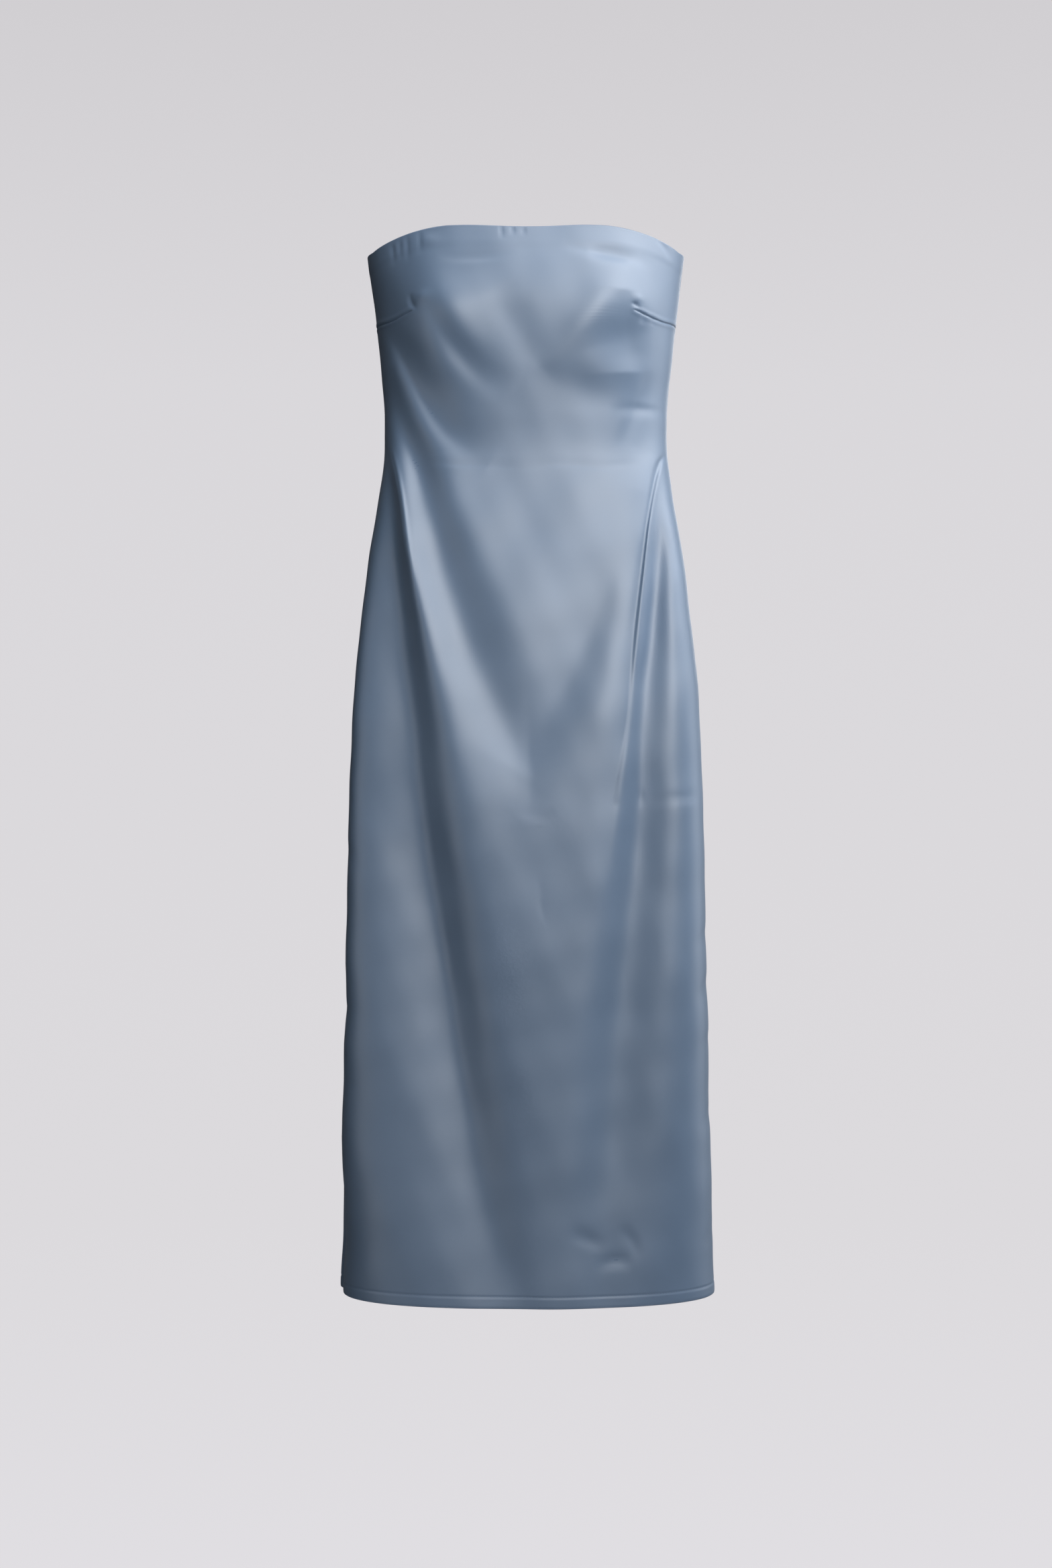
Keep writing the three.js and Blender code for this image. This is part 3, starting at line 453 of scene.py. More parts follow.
# Rows, from the neck edge down: each stretch ends at a level and has its own spacing. The edges and the darts
# have the closest rows.
CLOSE_ROWS = {"at_edges": 3, "below_neck": 30, "above_stitches": 12}
ROW_STRETCHES = [
    (NECK["peak"] - CLOSE_ROWS["at_edges"], 0.5),
    (NECK["peak"] - CLOSE_ROWS["below_neck"], 1.4),
    (8, 2),
    (-20, 0.68),
    (-50, 2.2),
    (-146, 2.1),
    (-170, 1.5),
    (-260, 2.5),
    (HEM_Z + HEM["width"] + CLOSE_ROWS["above_stitches"], 4.9),
    (HEM_Z + HEM["width"], 0.9),
    (HEM_Z + CLOSE_ROWS["at_edges"], 0.9),
    (HEM_Z, 0.5),
]
INNER_STEP = 2  # the inside has every second row and column


def row_levels():
    levels = [NECK["peak"]]
    for end, step in ROW_STRETCHES:
        rows = INNER_STEP * math.ceil((levels[-1] - end) / step / INNER_STEP)
        levels += list(np.linspace(levels[-1], end, rows + 1)[1:])
    return np.array(levels)


# The back panels are cut apart down the middle. flat: each cut's width and length, in metres.
PANELS = {
    "front": {"face": "front", "from": -1, "to": 1, "columns": 200, "flat": (0.56, 1.14)},
    "back_left": {"face": "back", "from": -1, "to": 0, "columns": 96, "flat": (0.29, 1.14)},
    "back_right": {"face": "back", "from": 0, "to": 1, "columns": 96, "flat": (0.29, 1.14)},
}
FINE = 300  # places along a row before its columns are spaced out
SEAM_POWER = 2.6  # how much closer they lie near the seams
SEAM_CROWD = {"times": 5, "reach": 2.2}

# The zip in the centre back seam
ZIP = {
    "below": 3, "end": -290, "slot": 0.8, "from": 1.4, "to": 12.8, "columns": 6, "thick": 0.5, "gap": 0.3,
    "step": 5,
}
SLIDER_LEVEL = 70
# The seam stands open up to "reach" above and below the slider's pin, and is closed at "closed" times that.
SLIDER_OPENING = {"reach": 11, "closed": 2}


def runs_along(points):
    steps = np.linalg.norm(np.diff(points, axis=1), axis=2)
    return steps, np.concatenate([np.zeros((len(points), 1)), np.cumsum(steps, axis=1)], axis=1)


def across_rows(panel, levels):
    """Where each row's columns lie: even over the folds, closer at seams and crisp folds."""
    even = np.linspace(panel["from"], panel["to"], FINE + 1)
    span = np.sign(even) * (1 - (1 - np.abs(even)) ** SEAM_POWER)
    across, level = np.meshgrid(span, levels)
    points = cloth_point(panel["face"], across, level)
    steps, run = runs_along(points)
    middle = (run[:, 1:] + run[:, :-1]) / 2
    weight = 1 + SEAM_CROWD["times"] * np.exp(-np.minimum(middle, run[:, -1:] - middle) / SEAM_CROWD["reach"])
    places = (points[:, 1:] + points[:, :-1]) / 2
    for name, crisp in CRISP.items():
        face, _, line = FOLD_LINES[name]
        if face == panel["face"]:
            z = places[..., 2]
            offset, _ = nearest_on(line, places[..., 0], z)
            from_top = smooth((crisp["top"] - z) / crisp["fade"])
            from_foot = smooth((z - crisp["bottom"]) / crisp["fade"])
            weight += crisp["times"] * (from_top * from_foot) * bell(offset, crisp["reach"])
    if panel["face"] == "back":
        beside = np.abs(places[..., 0]) - BACK_DART["x"]
        weight += BACK_DART["crowd"] * back_dart_run(places[..., 2]) * bell(beside, BACK_DART["crowd_reach"])
    dense = np.concatenate([np.zeros((len(levels), 1)), np.cumsum(steps * weight, axis=1)], axis=1)
    share = np.linspace(0, 1, panel["columns"] + 1)
    return np.array([np.interp(share * total[-1], total, span) for total in dense])


def normals_of(points, facing):
    """Outward normals of a grid whose rows run down and whose columns run right. facing is 1 at the back."""
    n = np.cross(np.gradient(points, axis=1), np.gradient(points, axis=0)) * facing
    return n / np.linalg.norm(n, axis=2, keepdims=True)


def rolled(distance):
    """How far a round edge has turned in, at a distance from its end."""
    left = np.clip(EDGE_ROUND - distance, 0, EDGE_ROUND)
    return EDGE_ROUND - np.sqrt(EDGE_ROUND**2 - left**2)


def strip(outer, inner, step, flip):
    """Joins an edge of the outside to the coarser edge of the inside."""
    faces = []
    half = step // 2
    for k in range(len(inner) - 1):
        a, b = inner[k], inner[k + 1]
        first = outer[k * step:(k + 1) * step + 1]
        faces += [(p, q, a) for p, q in zip(first[:half], first[1:half + 1])]
        faces.append((first[half], b, a))
        faces += [(p, q, b) for p, q in zip(first[half:], first[half + 1:])]
    return [face[::-1] for face in faces] if flip else faces


def link(name, mesh, materials):
    for material in materials:
        mesh.materials.append(material)
    piece = bpy.data.objects.new(name, mesh)
    bpy.context.collection.objects.link(piece)
    return piece


def closed_wall(name, outer, inner, step, facing, run, level, materials):
    """A thin wall from its outside and inside grids; the inside has every step-th row and column."""
    ids = np.arange(outer.shape[0] * outer.shape[1]).reshape(outer.shape[:2])
    ids_in = ids.size + np.arange(inner.shape[0] * inner.shape[1]).reshape(inner.shape[:2])
    front = facing < 0

    def quads(grid, flip):
        q = np.stack([grid[:-1, :-1], grid[1:, :-1], grid[1:, 1:], grid[:-1, 1:]], axis=-1).reshape(-1, 4)
        return (q[:, ::-1] if flip else q).tolist()

    outside, inside = quads(ids, not front), quads(ids_in, front)
    rims = strip(ids[0], ids_in[0], step, not front) + strip(ids[-1], ids_in[-1], step, front)
    rims += strip(ids[:, 0], ids_in[:, 0], step, front) + strip(ids[:, -1], ids_in[:, -1], step, not front)
    mesh = bpy.data.meshes.new(name)
    vertices = np.concatenate([outer.reshape(-1, 3), inner.reshape(-1, 3)]) * MM
    mesh.from_pydata(vertices.tolist(), [], outside + inside + rims)
    mesh.polygons.foreach_set("use_smooth", [True] * len(mesh.polygons))
    flat = np.stack([run, level], axis=-1) * MM
    flat = np.concatenate([flat.reshape(-1, 2), flat[::step, ::step].reshape(-1, 2)])
    corner = np.zeros(len(mesh.loops), int)
    mesh.loops.foreach_get("vertex_index", corner)
    mesh.uv_layers.new(name="cloth").data.foreach_set("uv", flat[corner].ravel())
    slots = np.zeros(len(mesh.polygons), int)
    slots[len(outside):len(outside) + len(inside)] = 1
    mesh.polygons.foreach_set("material_index", slots)
    mesh.update()
    return link(name, mesh, materials)


def slider_place():
    """The height of the slider's pin and the cloth's depth there."""
    point = cloth_point("back", np.zeros(1), np.full(1, float(SLIDER_LEVEL)))[0]
    return float(point[2]), float(point[1])


def thickness_at(level):
    turned_in = 1 - smooth((NECK["peak"] - level - FACING["width"]) / TURN_STEP)
    turned_up = 1 - smooth((level - HEM_Z - HEM["width"]) / TURN_STEP)
    at_neck = (FACING["thick"] - CLOTH_THICK) * turned_in
    at_hem = (HEM["thick"] - CLOTH_THICK) * turned_up
    return CLOTH_THICK + at_neck + at_hem


def panel_grids(panel):
    """A panel's outside and inside points, and how far each lies along its row and down."""
    face = panel["face"]
    facing = 1 if face == "back" else -1
    levels = row_levels()
    across = across_rows(panel, levels)
    level = np.repeat(levels[:, None], across.shape[1], axis=1)
    points = cloth_point(face, across, level)
    _, run = runs_along(points)
    from_seam = np.minimum(run, run[:, -1:] - run)
    edge = np.minimum(NECK["peak"] - level, level - HEM_Z)
    relief = relief_at(face, points[..., 0], points[..., 2], level) * smooth(from_seam / EDGE_FADE)
    relief -= rolled(from_seam) + rolled(edge)
    inside = relief - thickness_at(level) + 2 * rolled(edge)
    normals = normals_of(points, facing)
    outer = points + normals * relief[..., None]
    inner = (points + normals * inside[..., None])[::INNER_STEP, ::INNER_STEP]
    slider_z, _ = slider_place()
    for grid, plain in ((outer, points), (inner, points[::INNER_STEP, ::INNER_STEP])):
        for row in (0, -1):
            grid[row, :, 2] = plain[row, :, 2]
        for column in (0, -1):
            if abs(panel["from" if column == 0 else "to"]) == 1:
                grid[:, column, 1] = facing * SEAM_GAP / 2
            else:
                away = np.abs(grid[:, column, 2] - slider_z) / SLIDER_OPENING["reach"]
                open_here = smooth(SLIDER_OPENING["closed"] - away)
                middle = SEAM_GAP / 2 + (ZIP["slot"] - SEAM_GAP / 2) * open_here
                grid[:, column, 0] = middle * (1 if column == 0 else -1)
    return outer, inner, run, level, facing


def mesh_piece(name, parts, materials):
    """One mesh from several closed bodies, each a pair of points and faces."""
    vertices, faces = [], []
    for points, part_faces in parts:
        start = len(vertices)
        vertices += (np.asarray(points) * MM).tolist()
        faces += [[start + i for i in face] for face in part_faces]
    mesh = bpy.data.meshes.new(name)
    mesh.from_pydata(vertices, [], faces)
    mesh.polygons.foreach_set("use_smooth", [True] * len(mesh.polygons))
    mesh.update()
    return link(name, mesh, materials)


def lofted(rings, closed_ends=True):
    """A body through rings of the same number of points, listed as they turn right-handed along the way."""
    rings = np.asarray(rings, float)
    count, sides = rings.shape[:2]
    faces = []
    for i in range(count - 1):
        for k in range(sides):
            a, b = i * sides + k, i * sides + (k + 1) % sides
            faces.append((a, b, b + sides, a + sides))
    if closed_ends:
        faces += [tuple(range(sides))[::-1], tuple((count - 1) * sides + k for k in range(sides))]
    return rings.reshape(-1, 3), faces


def looped(rings):
    """A body through rings that come back to the first one."""
    points, faces = lofted(rings, closed_ends=False)
    count, sides = np.asarray(rings).shape[:2]
    last = (count - 1) * sides
    return points, faces + [(last + k, last + (k + 1) % sides, (k + 1) % sides, k) for k in range(sides)]


def tube(path, across, up, radii, sides):
    """A round body along a path. across and up are unit directions square to it."""
    turn = np.arange(sides) * 2 * math.pi / sides
    ring = np.cos(turn)[:, None] * across + np.sin(turn)[:, None] * up
    return lofted([centre + radius * ring for centre, radius in zip(path, radii)])


# Stitches along the turned-up hem. Their shape is places along, girth and depth, as shares of long, radius
# and sunk.
STITCH = {"long": 2.3, "pitch": 3.1, "radius": 0.2, "sides": 6, "sunk": 0.22}
STITCH_SHAPE = [(-0.5, 0.45, 1), (-0.3, 1, 0.25), (0, 1, 0), (0.3, 1, 0.25), (0.5, 0.45, 1)]


def hem_stitches(name, outer, facing):
    """A row of stitches where the hem is turned up, and how they go down into the cloth at both ends."""
    levels = row_levels()
    row = int(np.argmin(np.abs(levels - HEM_Z - HEM["width"])))
    path = outer[row]
    normals = normals_of(outer[row - 1:row + 2], facing)[1]
    run = np.concatenate([[0], np.cumsum(np.linalg.norm(np.diff(path, axis=0), axis=1))])
    count = int(run[-1] / STITCH["pitch"]) - 1

    def at(values, where):
        return np.array([np.interp(where, run, values[:, k]) for k in range(3)])

    stitches = []
    for i in range(count):
        middle = (i + 1) * run[-1] / (count + 1)
        centre = at(path, middle)
        along = at(path, middle + 1) - at(path, middle - 1)
        along /= np.linalg.norm(along)
        out = at(normals, middle)
        side = np.cross(out, along)
        line, radii = [], []
        for share, girth, sunk in STITCH_SHAPE:
            line.append(centre + along * share * STITCH["long"] - out * sunk * STITCH["sunk"])
            radii.append(girth * STITCH["radius"])
        stitches.append(tube(line, out, -side, radii, STITCH["sides"]))
    return mesh_piece(name, stitches, [thread])


def zip_levels(step):
    first = NECK["peak"] - ZIP["below"]
    return np.linspace(first, ZIP["end"], int((first - ZIP["end"]) / step))


def back_at(x, level):
    """Places on the back's outside at each x, on the rows' heights at its middle."""
    z = height_of(level, "back", np.zeros(np.shape(level)))
    share = depth_share(x, between("half", z), between("back_square", z))
    folds = face_folds("back", np.broadcast_to(x, np.shape(z)).astype(float), z)
    return share * (between("back", z) + folds), z


def zip_tape(name, side):
    """A woven tape down the inside of the centre back seam."""
    levels = zip_levels(ZIP["step"])
    places = side * np.linspace(ZIP["from"], ZIP["to"], ZIP["columns"])
    if side < 0:
        places = places[::-1]
    x, level = np.meshgrid(places, levels)
    depth, z = back_at(x, level)
    face = depth - thickness_at(level) - ZIP["gap"]
    outer = np.stack([x, face, z], axis=-1)
    inner = outer - np.array([0, ZIP["thick"], 0])
    _, run = runs_along(outer)
    return closed_wall(name, outer, inner, 1, 1, run, level, [tape_cloth, tape_cloth])


COIL = {"pitch": 1.6, "radius": 0.36, "sides": 6, "deep": 0.95, "below_slider": 7}
COIL_BAR = [(2.5, 0.6), (2.1, 1), (0, 1), (-0.35, 0.75)]  # places across, and girth there


def zip_coil(name, side):
    """The teeth of one side: short bars wrapped round the tape's edge, just past the middle."""
    slider_z, _ = slider_place()
    rows = [level for level in zip_levels(COIL["pitch"]) if level < SLIDER_LEVEL - COIL["below_slider"]]
    shift = COIL["pitch"] / 4 * side
    teeth = []
    across = np.array([0, 0, 1.0])
    up = np.array([0, 1.0, 0]) * side
    for level in rows:
        depth, z = back_at(np.zeros(1), np.full(1, level))
        y = float(depth[0] - thickness_at(np.full(1, level))[0] - ZIP["gap"] - COIL["deep"])
        z = float(z[0]) + shift
        path = [np.array([side * x, y, z]) for x, _ in COIL_BAR]
        radii = [COIL["radius"] * girth for _, girth in COIL_BAR]
        teeth.append(tube(path, across, up, radii, COIL["sides"]))
    return mesh_piece(name, teeth, [coil_nylon])


BLOCK = {"sides": 24, "square": 0.45, "round_from": 0.8, "round_over": 0.2}
BLOCK_LAYERS = (-1, -0.94, -0.8, 0.8, 0.94, 1)


def rounded_block(half, centre, soft, taper=1.0):
    """A block with soft edges: rings of a rounded rectangle stacked upwards. taper narrows its foot."""
    turn = np.arange(BLOCK["sides"]) * 2 * math.pi / BLOCK["sides"]
    rings = []
    for share in BLOCK_LAYERS:
        past = max(0, (abs(share) - BLOCK["round_from"]) / BLOCK["round_over"])
        inset = soft * (1 - math.sqrt(max(0, 1 - past**2)))
        width = (half[0] - inset) * (taper + (1 - taper) * (share + 1) / 2)
        deep = half[1] - inset
        corner = np.stack([np.cos(turn), np.sin(turn)], axis=1)
        squared = np.sign(corner) * np.abs(corner) ** BLOCK["square"]
        z = centre[2] + half[2] * share
        rings.append([(centre[0] + width * a, centre[1] + deep * b, z) for a, b in squared])
    return lofted(rings)


LUG = {"radius": 2, "hole": 0.95, "reach": 2.9, "thick": 0.9, "turns": 28, "sides": 10}
SLIDER = {
    "half": (4.3, 1.35, 5.3), "clear": 1.8, "soft": 0.7, "taper": 0.72,
    "neck": 1.7, "neck_soft": 0.2, "below_hole": 0.3,
}


def ring_round(centre, radius, tube_radius, thin):
    """A ring round the X axis, its section thin along X."""
    rings = []
    for turn in np.arange(LUG["turns"]) * 2 * math.pi / LUG["turns"]:
        out = np.array([0, math.cos(turn), math.sin(turn)])
        ring = []
        for k in range(LUG["sides"]):
            a = 2 * math.pi * k / LUG["sides"]
            sideways = np.array([thin * math.sin(a), 0, 0])
            ring.append(centre + out * (radius + tube_radius * math.cos(a)) + sideways)
        rings.append(ring)
    return looped(rings)


def zip_slider(name):
    z, cloth = slider_place()
    pin = np.array([0, cloth + LUG["reach"], z])
    wall = float(thickness_at(np.full(1, float(SLIDER_LEVEL)))[0])
    body = cloth - wall - ZIP["gap"] - SLIDER["clear"] - SLIDER["half"][1]
    middle = (LUG["radius"] + LUG["hole"]) / 2
    eye = ring_round(pin, middle, (LUG["radius"] - LUG["hole"]) / 2, LUG["thick"] / 2)
    neck_end = pin[1] - LUG["hole"] - SLIDER["below_hole"]
    neck_half = (LUG["thick"] / 2, (neck_end - body) / 2, SLIDER["neck"])
    neck = rounded_block(neck_half, (0, (neck_end + body) / 2, z), SLIDER["neck_soft"])
    block = rounded_block(SLIDER["half"], (0, body, z), SLIDER["soft"], SLIDER["taper"])
    return mesh_piece(name, [block, neck, eye], [lacquer])


PULL = {
    "pin": 0.55, "ear": 1.85, "ear_at": 1.4, "ear_thick": 0.55, "ear_steps": 13, "ear_foot": 1,
    "top": 2.6, "length": 21, "neck": 2, "bulb": 3.2, "bulb_steps": 21, "side_from": 0.1, "side_steps": 9,
    "thick": 1.15, "edge": 0.4, "round_from": 0.5, "round_over": 0.5, "pin_sides": 14,
}
BLADE_LAYERS = (-1, -0.85, -0.5, 0.5, 0.85, 1)
EAR_LAYERS = [(-1, 0.9), (-0.7, 1), (0.7, 1), (1, 0.9)]  # place across, and size there
PIN_SHAPE = [(-2, 0.7), (-1.8, 1), (1.8, 1), (2, 0.7)]  # place across, and girth there


def pull_outline(share):
    """The drop's outline in X and Z from the pin, drawn in by share of its rounded edge."""
    foot = -PULL["length"] + PULL["bulb"]
    turn = np.linspace(math.pi, 2 * math.pi, PULL["bulb_steps"])
    bulb = PULL["bulb"] - share
    low = [(bulb * math.cos(t), foot + bulb * math.sin(t)) for t in turn]
    narrowing, rise = PULL["neck"] - share - bulb, -PULL["top"] - share - foot
    steps = np.linspace(PULL["side_from"], 1, PULL["side_steps"])
    right = [(bulb + narrowing * smooth(t), foot + rise * t) for t in steps]
    left = [(-x, z) for x, z in right[::-1]]
    return low + right + left


def zip_pull(name):
    """The pull tab: a drop-shaped blade with rounded edges, two ears and the pin."""
    z, cloth = slider_place()
    y = cloth + LUG["reach"]
    half = PULL["thick"] / 2
    rings = []
    for t in BLADE_LAYERS:
        past = max(0, (abs(t) - PULL["round_from"]) / PULL["round_over"])
        inset = PULL["edge"] * (1 - math.sqrt(1 - past**2))
        rings.append([(x, y + half * t, z + dz) for x, dz in pull_outline(inset)][::-1])
    parts = [lofted(rings)]
    for side in (-1, 1):
        x = side * PULL["ear_at"]
        plates = []
        for dx, share in EAR_LAYERS:
            turn = np.linspace(0, math.pi, PULL["ear_steps"])
            ear = PULL["ear"] * share
            arc = [(y + ear * math.cos(t), z + ear * math.sin(t)) for t in turn]
            foot = z - PULL["top"] - PULL["ear_foot"]
            low = [(y - half * share, foot), (y + half * share, foot)]
            plates.append([(x + dx * PULL["ear_thick"], a, b) for a, b in arc + low])
        parts.append(lofted(plates))
    path = [np.array([x, y, z]) for x, _ in PIN_SHAPE]
    radii = [PULL["pin"] * girth for _, girth in PIN_SHAPE]
    back, up = np.array([0, 1.0, 0]), np.array([0, 0, 1.0])
    parts.append(tube(path, back, up, radii, PULL["pin_sides"]))
    return mesh_piece(name, parts, [lacquer])


def node_material(name):
    material = bpy.data.materials.new(name)
    material.use_nodes = True
    return material, material.node_tree.nodes, material.node_tree.links


def new_node(nodes, kind, **values):
    node = nodes.new(kind)
    for key, value in values.items():
        setattr(node, key, value)
    return node


def fill(node, inputs):
    """Sets a node's inputs by their names."""
    for name, value in inputs.items():
        node.inputs[name].default_value = value
    return node


def noise(nodes, links, vector, scale, detail, stretch=(1, 1, 1)):
    """Soft noise over the cloth's own measures, drawn out along them by stretch."""
    mapping = fill(new_node(nodes, "ShaderNodeMapping"), {"Scale": stretch})
    links.new(vector, mapping.inputs["Vector"])
    texture = fill(new_node(nodes, "ShaderNodeTexNoise"), {"Scale": scale, "Detail": detail})
    links.new(mapping.outputs["Vector"], texture.inputs["Vector"])
    return texture.outputs["Fac"]


def mixed(nodes, links, a, b, share):
    mix = fill(new_node(nodes, "ShaderNodeMix", data_type="FLOAT"), {"Factor": share})
    links.new(a, mix.inputs["A"])
    links.new(b, mix.inputs["B"])
    return mix.outputs["Result"]


GRAIN_SPAN = (0.3, 0.7)  # where in the noise the darkest and the lightest tone lie
GRAIN_DEPTH = 0.0001  # metres


def toned(nodes, links, value, deep, light):
    ramp = new_node(nodes, "ShaderNodeValToRGB").color_ramp
    ramp.elements[0].position, ramp.elements[1].position = GRAIN_SPAN
    ramp.elements[0].color, ramp.elements[1].color = (*deep, 1), (*light, 1)
    node = nodes[-1]
    links.new(value, node.inputs["Fac"])
    return node.outputs["Color"]


def bumped(nodes, links, height, shader, strength):
    bump = fill(new_node(nodes, "ShaderNodeBump"), {"Strength": strength, "Distance": GRAIN_DEPTH})
    links.new(height, bump.inputs["Height"])
    links.new(bump.outputs["Normal"], shader.inputs["Normal"])


# How fine the satin's threads and its shifts of tone are, and how far they show
WEAVE = {
    "floats": (2600, 700, 1), "threads": (900, 3600, 1), "cloud": 14, "share": 0.5, "bump": 0.16,
    "rough_range": 0.05, "sheen_roughness": 0.4,
}


def satin_material(name, deep, light, roughness, specular, sheen):
    """Satin: long floats down the cloth, finer threads across, slow shifts of tone, and a soft gloss."""
    material, nodes, links = node_material(name)
    shader = nodes["Principled BSDF"]
    uv = new_node(nodes, "ShaderNodeUVMap", uv_map="cloth").outputs["UV"]
    floats = noise(nodes, links, uv, scale=1, detail=2, stretch=WEAVE["floats"])
    threads = noise(nodes, links, uv, scale=1, detail=1, stretch=WEAVE["threads"])
    cloud = noise(nodes, links, uv, scale=WEAVE["cloud"], detail=4)
    weave = mixed(nodes, links, floats, threads, WEAVE["share"])
    tone = mixed(nodes, links, cloud, weave, WEAVE["share"])
    links.new(toned(nodes, links, tone, deep, light), shader.inputs["Base Color"])
    low, high = roughness - WEAVE["rough_range"], roughness + WEAVE["rough_range"]
    rough = fill(new_node(nodes, "ShaderNodeMapRange"), {"To Min": low, "To Max": high})
    links.new(cloud, rough.inputs["Value"])
    links.new(rough.outputs["Result"], shader.inputs["Roughness"])
    bumped(nodes, links, weave, shader, WEAVE["bump"])
    fill(shader, {"Specular IOR Level": specular, "Sheen Weight": sheen})
    fill(shader, {"Sheen Roughness": WEAVE["sheen_roughness"]})
    return material


def plain_material(name, deep, light, roughness, specular, scale, stretch=(1, 1, 1), metallic=0, bump=0.1):
    """Tape, thread, nylon and painted metal: one tone with fine grain."""
    material, nodes, links = node_material(name)
    shader = nodes["Principled BSDF"]
    place = new_node(nodes, "ShaderNodeTexCoord").outputs["Object"]
    grain = noise(nodes, links, place, scale, detail=3, stretch=stretch)
    links.new(toned(nodes, links, grain, deep, light), shader.inputs["Base Color"])
    bumped(nodes, links, grain, shader, bump)
    fill(shader, {"Roughness": roughness, "Specular IOR Level": specular, "Metallic": metallic})
    return material


satin = satin_material(
    "satin", (0.092, 0.144, 0.225), (0.112, 0.172, 0.267), roughness=0.48, specular=1.25, sheen=0.06,
)
satin_back = satin_material(
    "satin_inside", (0.09, 0.14, 0.22), (0.106, 0.163, 0.255), roughness=0.6, specular=0.4, sheen=0.1,
)
thread = plain_material(
    "thread", (0.1, 0.155, 0.24), (0.14, 0.205, 0.31), roughness=0.55, specular=0.5, scale=2600,
)
tape_cloth = plain_material(
    "zip_tape", (0.075, 0.115, 0.18), (0.1, 0.15, 0.23), roughness=0.8, specular=0.3, scale=1,
    stretch=(2400, 2400, 5200), bump=0.3,
)
coil_nylon = plain_material(
    "coil", (0.09, 0.14, 0.21), (0.11, 0.165, 0.25), roughness=0.35, specular=0.5, scale=900,
)
lacquer = plain_material(
    "lacquer", (0.12, 0.18, 0.27), (0.135, 0.2, 0.3), roughness=0.28, specular=0.5, scale=300,
    metallic=0.3, bump=0.04,
)


def floor_material():
    """A pale floor that fades out towards its edge."""
    material, nodes, links = node_material("floor")
    shader = nodes["Principled BSDF"]
    place = new_node(nodes, "ShaderNodeTexCoord").outputs["Object"]
    grain = noise(nodes, links, place, FLOOR["grain"], detail=4)
    links.new(toned(nodes, links, grain, FLOOR["deep"], FLOOR["light"]), shader.inputs["Base Color"])
    fill(shader, {"Roughness": FLOOR["roughness"]})
    away = new_node(nodes, "ShaderNodeVectorMath", operation="LENGTH")
    links.new(place, away.inputs[0])
    fade = new_node(nodes, "ShaderNodeMapRange", interpolation_type="SMOOTHSTEP")
    fill(fade, {"From Min": FLOOR["fade"], "From Max": FLOOR["radius"], "To Min": 1, "To Max": 0})
    links.new(away.outputs["Value"], fade.inputs["Value"])
    links.new(fade.outputs["Result"], shader.inputs["Alpha"])
    return material


# In metres: the camera stands level with the middle of the dress, where the photo's straight edges stay
# upright. sensor is in millimetres, and scale is a pixel's size at the side seams.
CAMERA = {"distance": 3.15, "z": -0.484, "sensor": 36, "scale": 0.0007, "sight": 100}
FLOOR = {
    "z": -1.6, "radius": 1.25, "fade": 0.3, "sides": 96,
    "deep": (0.7, 0.69, 0.71), "light": (0.74, 0.73, 0.75), "grain": 60, "roughness": 0.9,
}
# The backdrop's tone by the view's slope, from the photo's foot to its top.
# Painted shade: the backdrop's plain grey is made darker towards the top, as the light on it falls off.
BACKDROP = [
    (-0.26, (0.75, 0.735, 0.765)), (-0.14, (0.716, 0.701, 0.723)), (0.13, (0.7, 0.686, 0.71)),
    (0.26, (0.632, 0.617, 0.638)),
]
GLOW = {"colour": (0.95, 0.97, 1.0), "strength": 0.012}
# Each light's name, place and target, size, power, and spread in degrees.
LIGHTS = [
    ("key", (1.53, -0.27, 1.09), (0, 0, 0), 2, 50, 180),
    ("high_front", (1.06, -1.84, 1.64), (0, 0, -0.48), 2.4, 42, 180),
    ("top", (0, -0.42, 2.5), (0, 0, -0.48), 2, 28, 180),
    ("front", (0.3, -3, 0), (0, 0, -0.48), 2, 14, 180),
    ("bodice_front", (0.65, -1.79, 0.25), (0, 0, -0.05), 1.2, 3.4, 70),
    ("right_rear", (2.81, 1.02, -0.22), (0, 0, -0.48), 2.2, 20, 180),
    ("left", (-2.5, -1.6, -0.7), (0, 0, -0.7), 1.6, 8.5, 180),
    ("back", (0.4, 2.9, 0.7), (0, 0, -0.45), 2, 44, 180),
]


def make_camera():
    data = bpy.data.cameras.new("camera")
    data.sensor_fit = "VERTICAL"
    data.sensor_height = CAMERA["sensor"]
    data.lens = CAMERA["sensor"] * CAMERA["distance"] / (PHOTO["height"] * CAMERA["scale"])
    data.clip_end = CAMERA["sight"]
    camera = bpy.data.objects.new("camera", data)
    camera.location = (0, -CAMERA["distance"], CAMERA["z"])
    camera.rotation_euler = (math.pi / 2, 0, 0)
    bpy.context.collection.objects.link(camera)
    bpy.context.scene.camera = camera


def area_light(name, place, target, size, power, spread_degrees):
    data = bpy.data.lights.new(name, "AREA")
    data.size = size
    data.energy = power
    data.spread = math.radians(spread_degrees)
    lamp = bpy.data.objects.new(name, data)
    lamp.location = place
    lamp.rotation_euler = (Vector(target) - Vector(place)).to_track_quat("-Z", "Y").to_euler()
    lamp.visible_camera = False
    bpy.context.collection.objects.link(lamp)


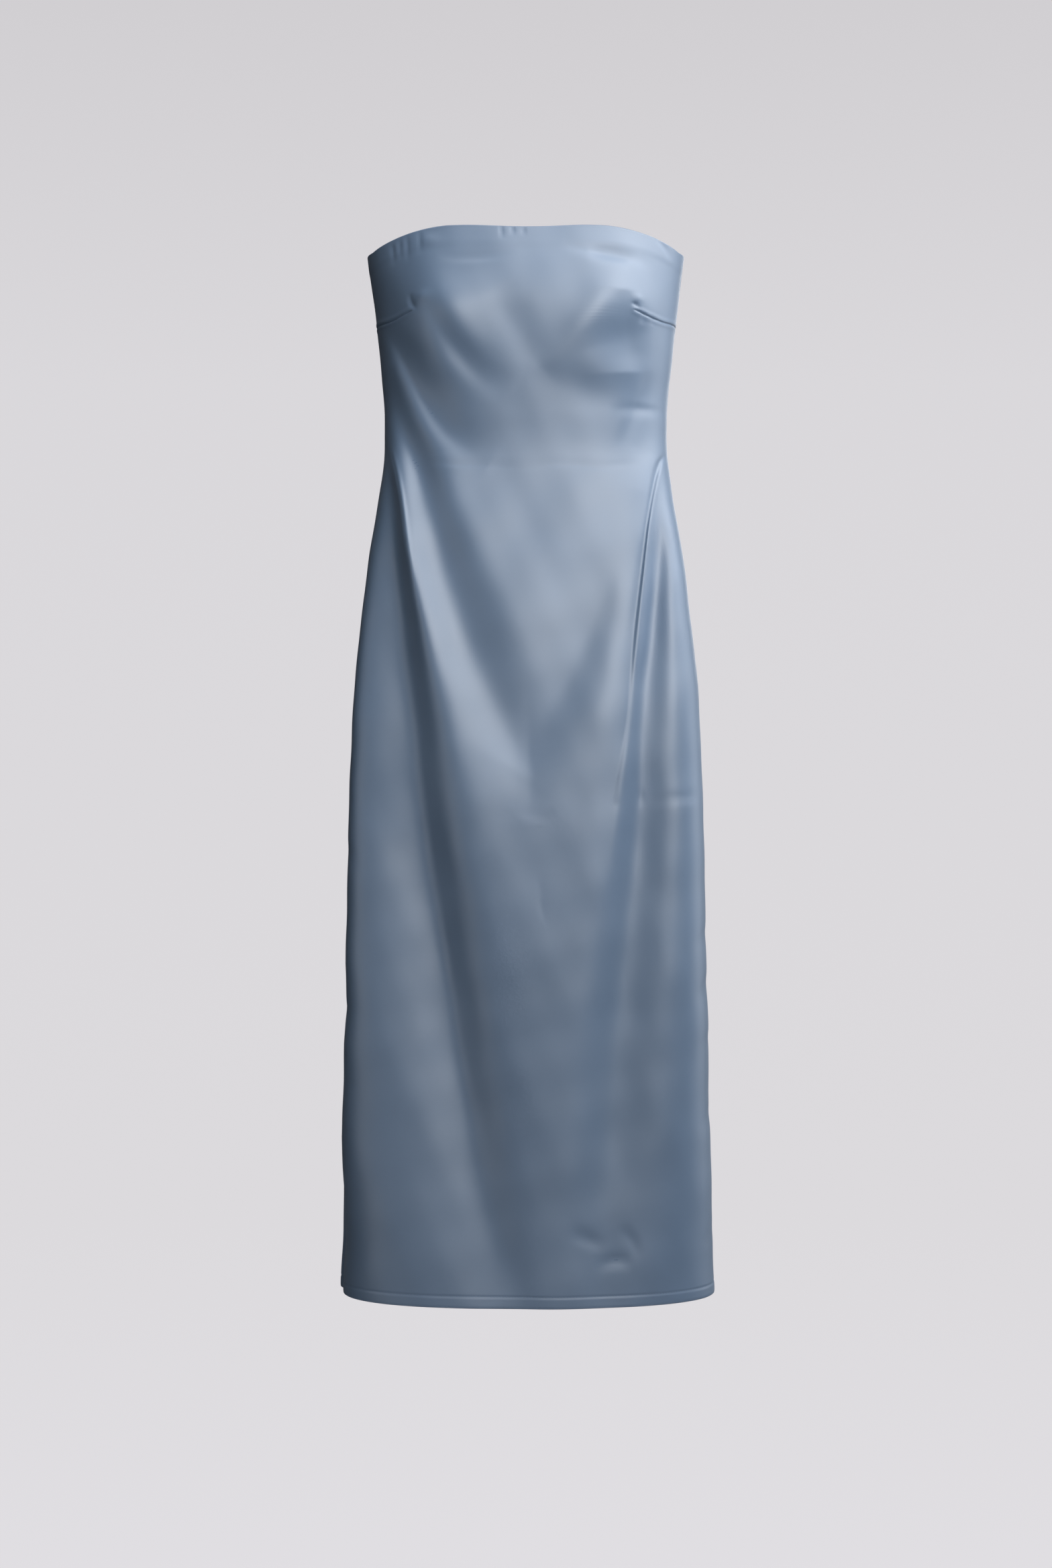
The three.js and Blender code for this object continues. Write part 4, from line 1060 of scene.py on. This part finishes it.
def make_world():
    """A pale backdrop for what looks past the dress, and a faint glow for what the cloth sees."""
    world = bpy.data.worlds.new("studio")
    world.use_nodes = True
    nodes, links = world.node_tree.nodes, world.node_tree.links
    seen = nodes["Background"]
    slope = new_node(nodes, "ShaderNodeSeparateXYZ")
    links.new(new_node(nodes, "ShaderNodeTexCoord").outputs["Generated"], slope.inputs["Vector"])
    low, high = BACKDROP[0][0], BACKDROP[-1][0]
    place = fill(new_node(nodes, "ShaderNodeMapRange"), {"From Min": low, "From Max": high})
    links.new(slope.outputs["Z"], place.inputs["Value"])
    ramp = new_node(nodes, "ShaderNodeValToRGB")
    elements = ramp.color_ramp.elements
    for k, (where, tone) in enumerate(BACKDROP):
        share = (where - low) / (high - low)
        element = elements[0] if k == 0 else elements[-1] if k == len(BACKDROP) - 1 else elements.new(share)
        element.position = share
        element.color = (*tone, 1)
    links.new(place.outputs["Result"], ramp.inputs["Fac"])
    links.new(ramp.outputs["Color"], seen.inputs["Color"])
    around = new_node(nodes, "ShaderNodeBackground")
    fill(around, {"Color": (*GLOW["colour"], 1), "Strength": GLOW["strength"]})
    mix = new_node(nodes, "ShaderNodeMixShader")
    links.new(new_node(nodes, "ShaderNodeLightPath").outputs["Is Camera Ray"], mix.inputs["Fac"])
    links.new(around.outputs["Background"], mix.inputs[1])
    links.new(seen.outputs["Background"], mix.inputs[2])
    links.new(mix.outputs["Shader"], nodes["World Output"].inputs["Surface"])
    bpy.context.scene.world = world


def make_floor():
    turn = np.arange(FLOOR["sides"]) * 2 * math.pi / FLOOR["sides"]
    disc = np.stack([np.cos(turn), np.sin(turn), 0 * turn], axis=1) * FLOOR["radius"]
    mesh = bpy.data.meshes.new("floor")
    mesh.from_pydata(disc.tolist(), [], [tuple(range(FLOOR["sides"]))])
    floor = link("floor", mesh, [floor_material()])
    floor.location.z = FLOOR["z"]


make_camera()
make_world()
for light in LIGHTS:
    area_light(*light)
make_floor()
bpy.context.scene.view_settings.view_transform = "Standard"

for node, panel in PANELS.items():
    outer, inner, run, level, facing = panel_grids(panel)
    piece = closed_wall("cloth_" + node, outer, inner, INNER_STEP, facing, run, level, [satin, satin_back])
    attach(piece, "dress")
    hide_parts(node)
    stitches = hem_stitches("hem_stitches_" + node, outer, facing)
    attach(stitches, "dress")

for side, word in ((-1, "left"), (1, "right")):
    tape = zip_tape("tape_" + word, side)
    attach(tape, "dress")
    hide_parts("zip_tape_" + word)
    coil = zip_coil("coil_" + word, side)
    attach(coil, "dress")

slider = zip_slider("slider")
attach(slider, "dress")
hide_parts("zip_slider")
pull = zip_pull("pull_tab")
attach(pull, "zip_pull")
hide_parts("zip_pull")
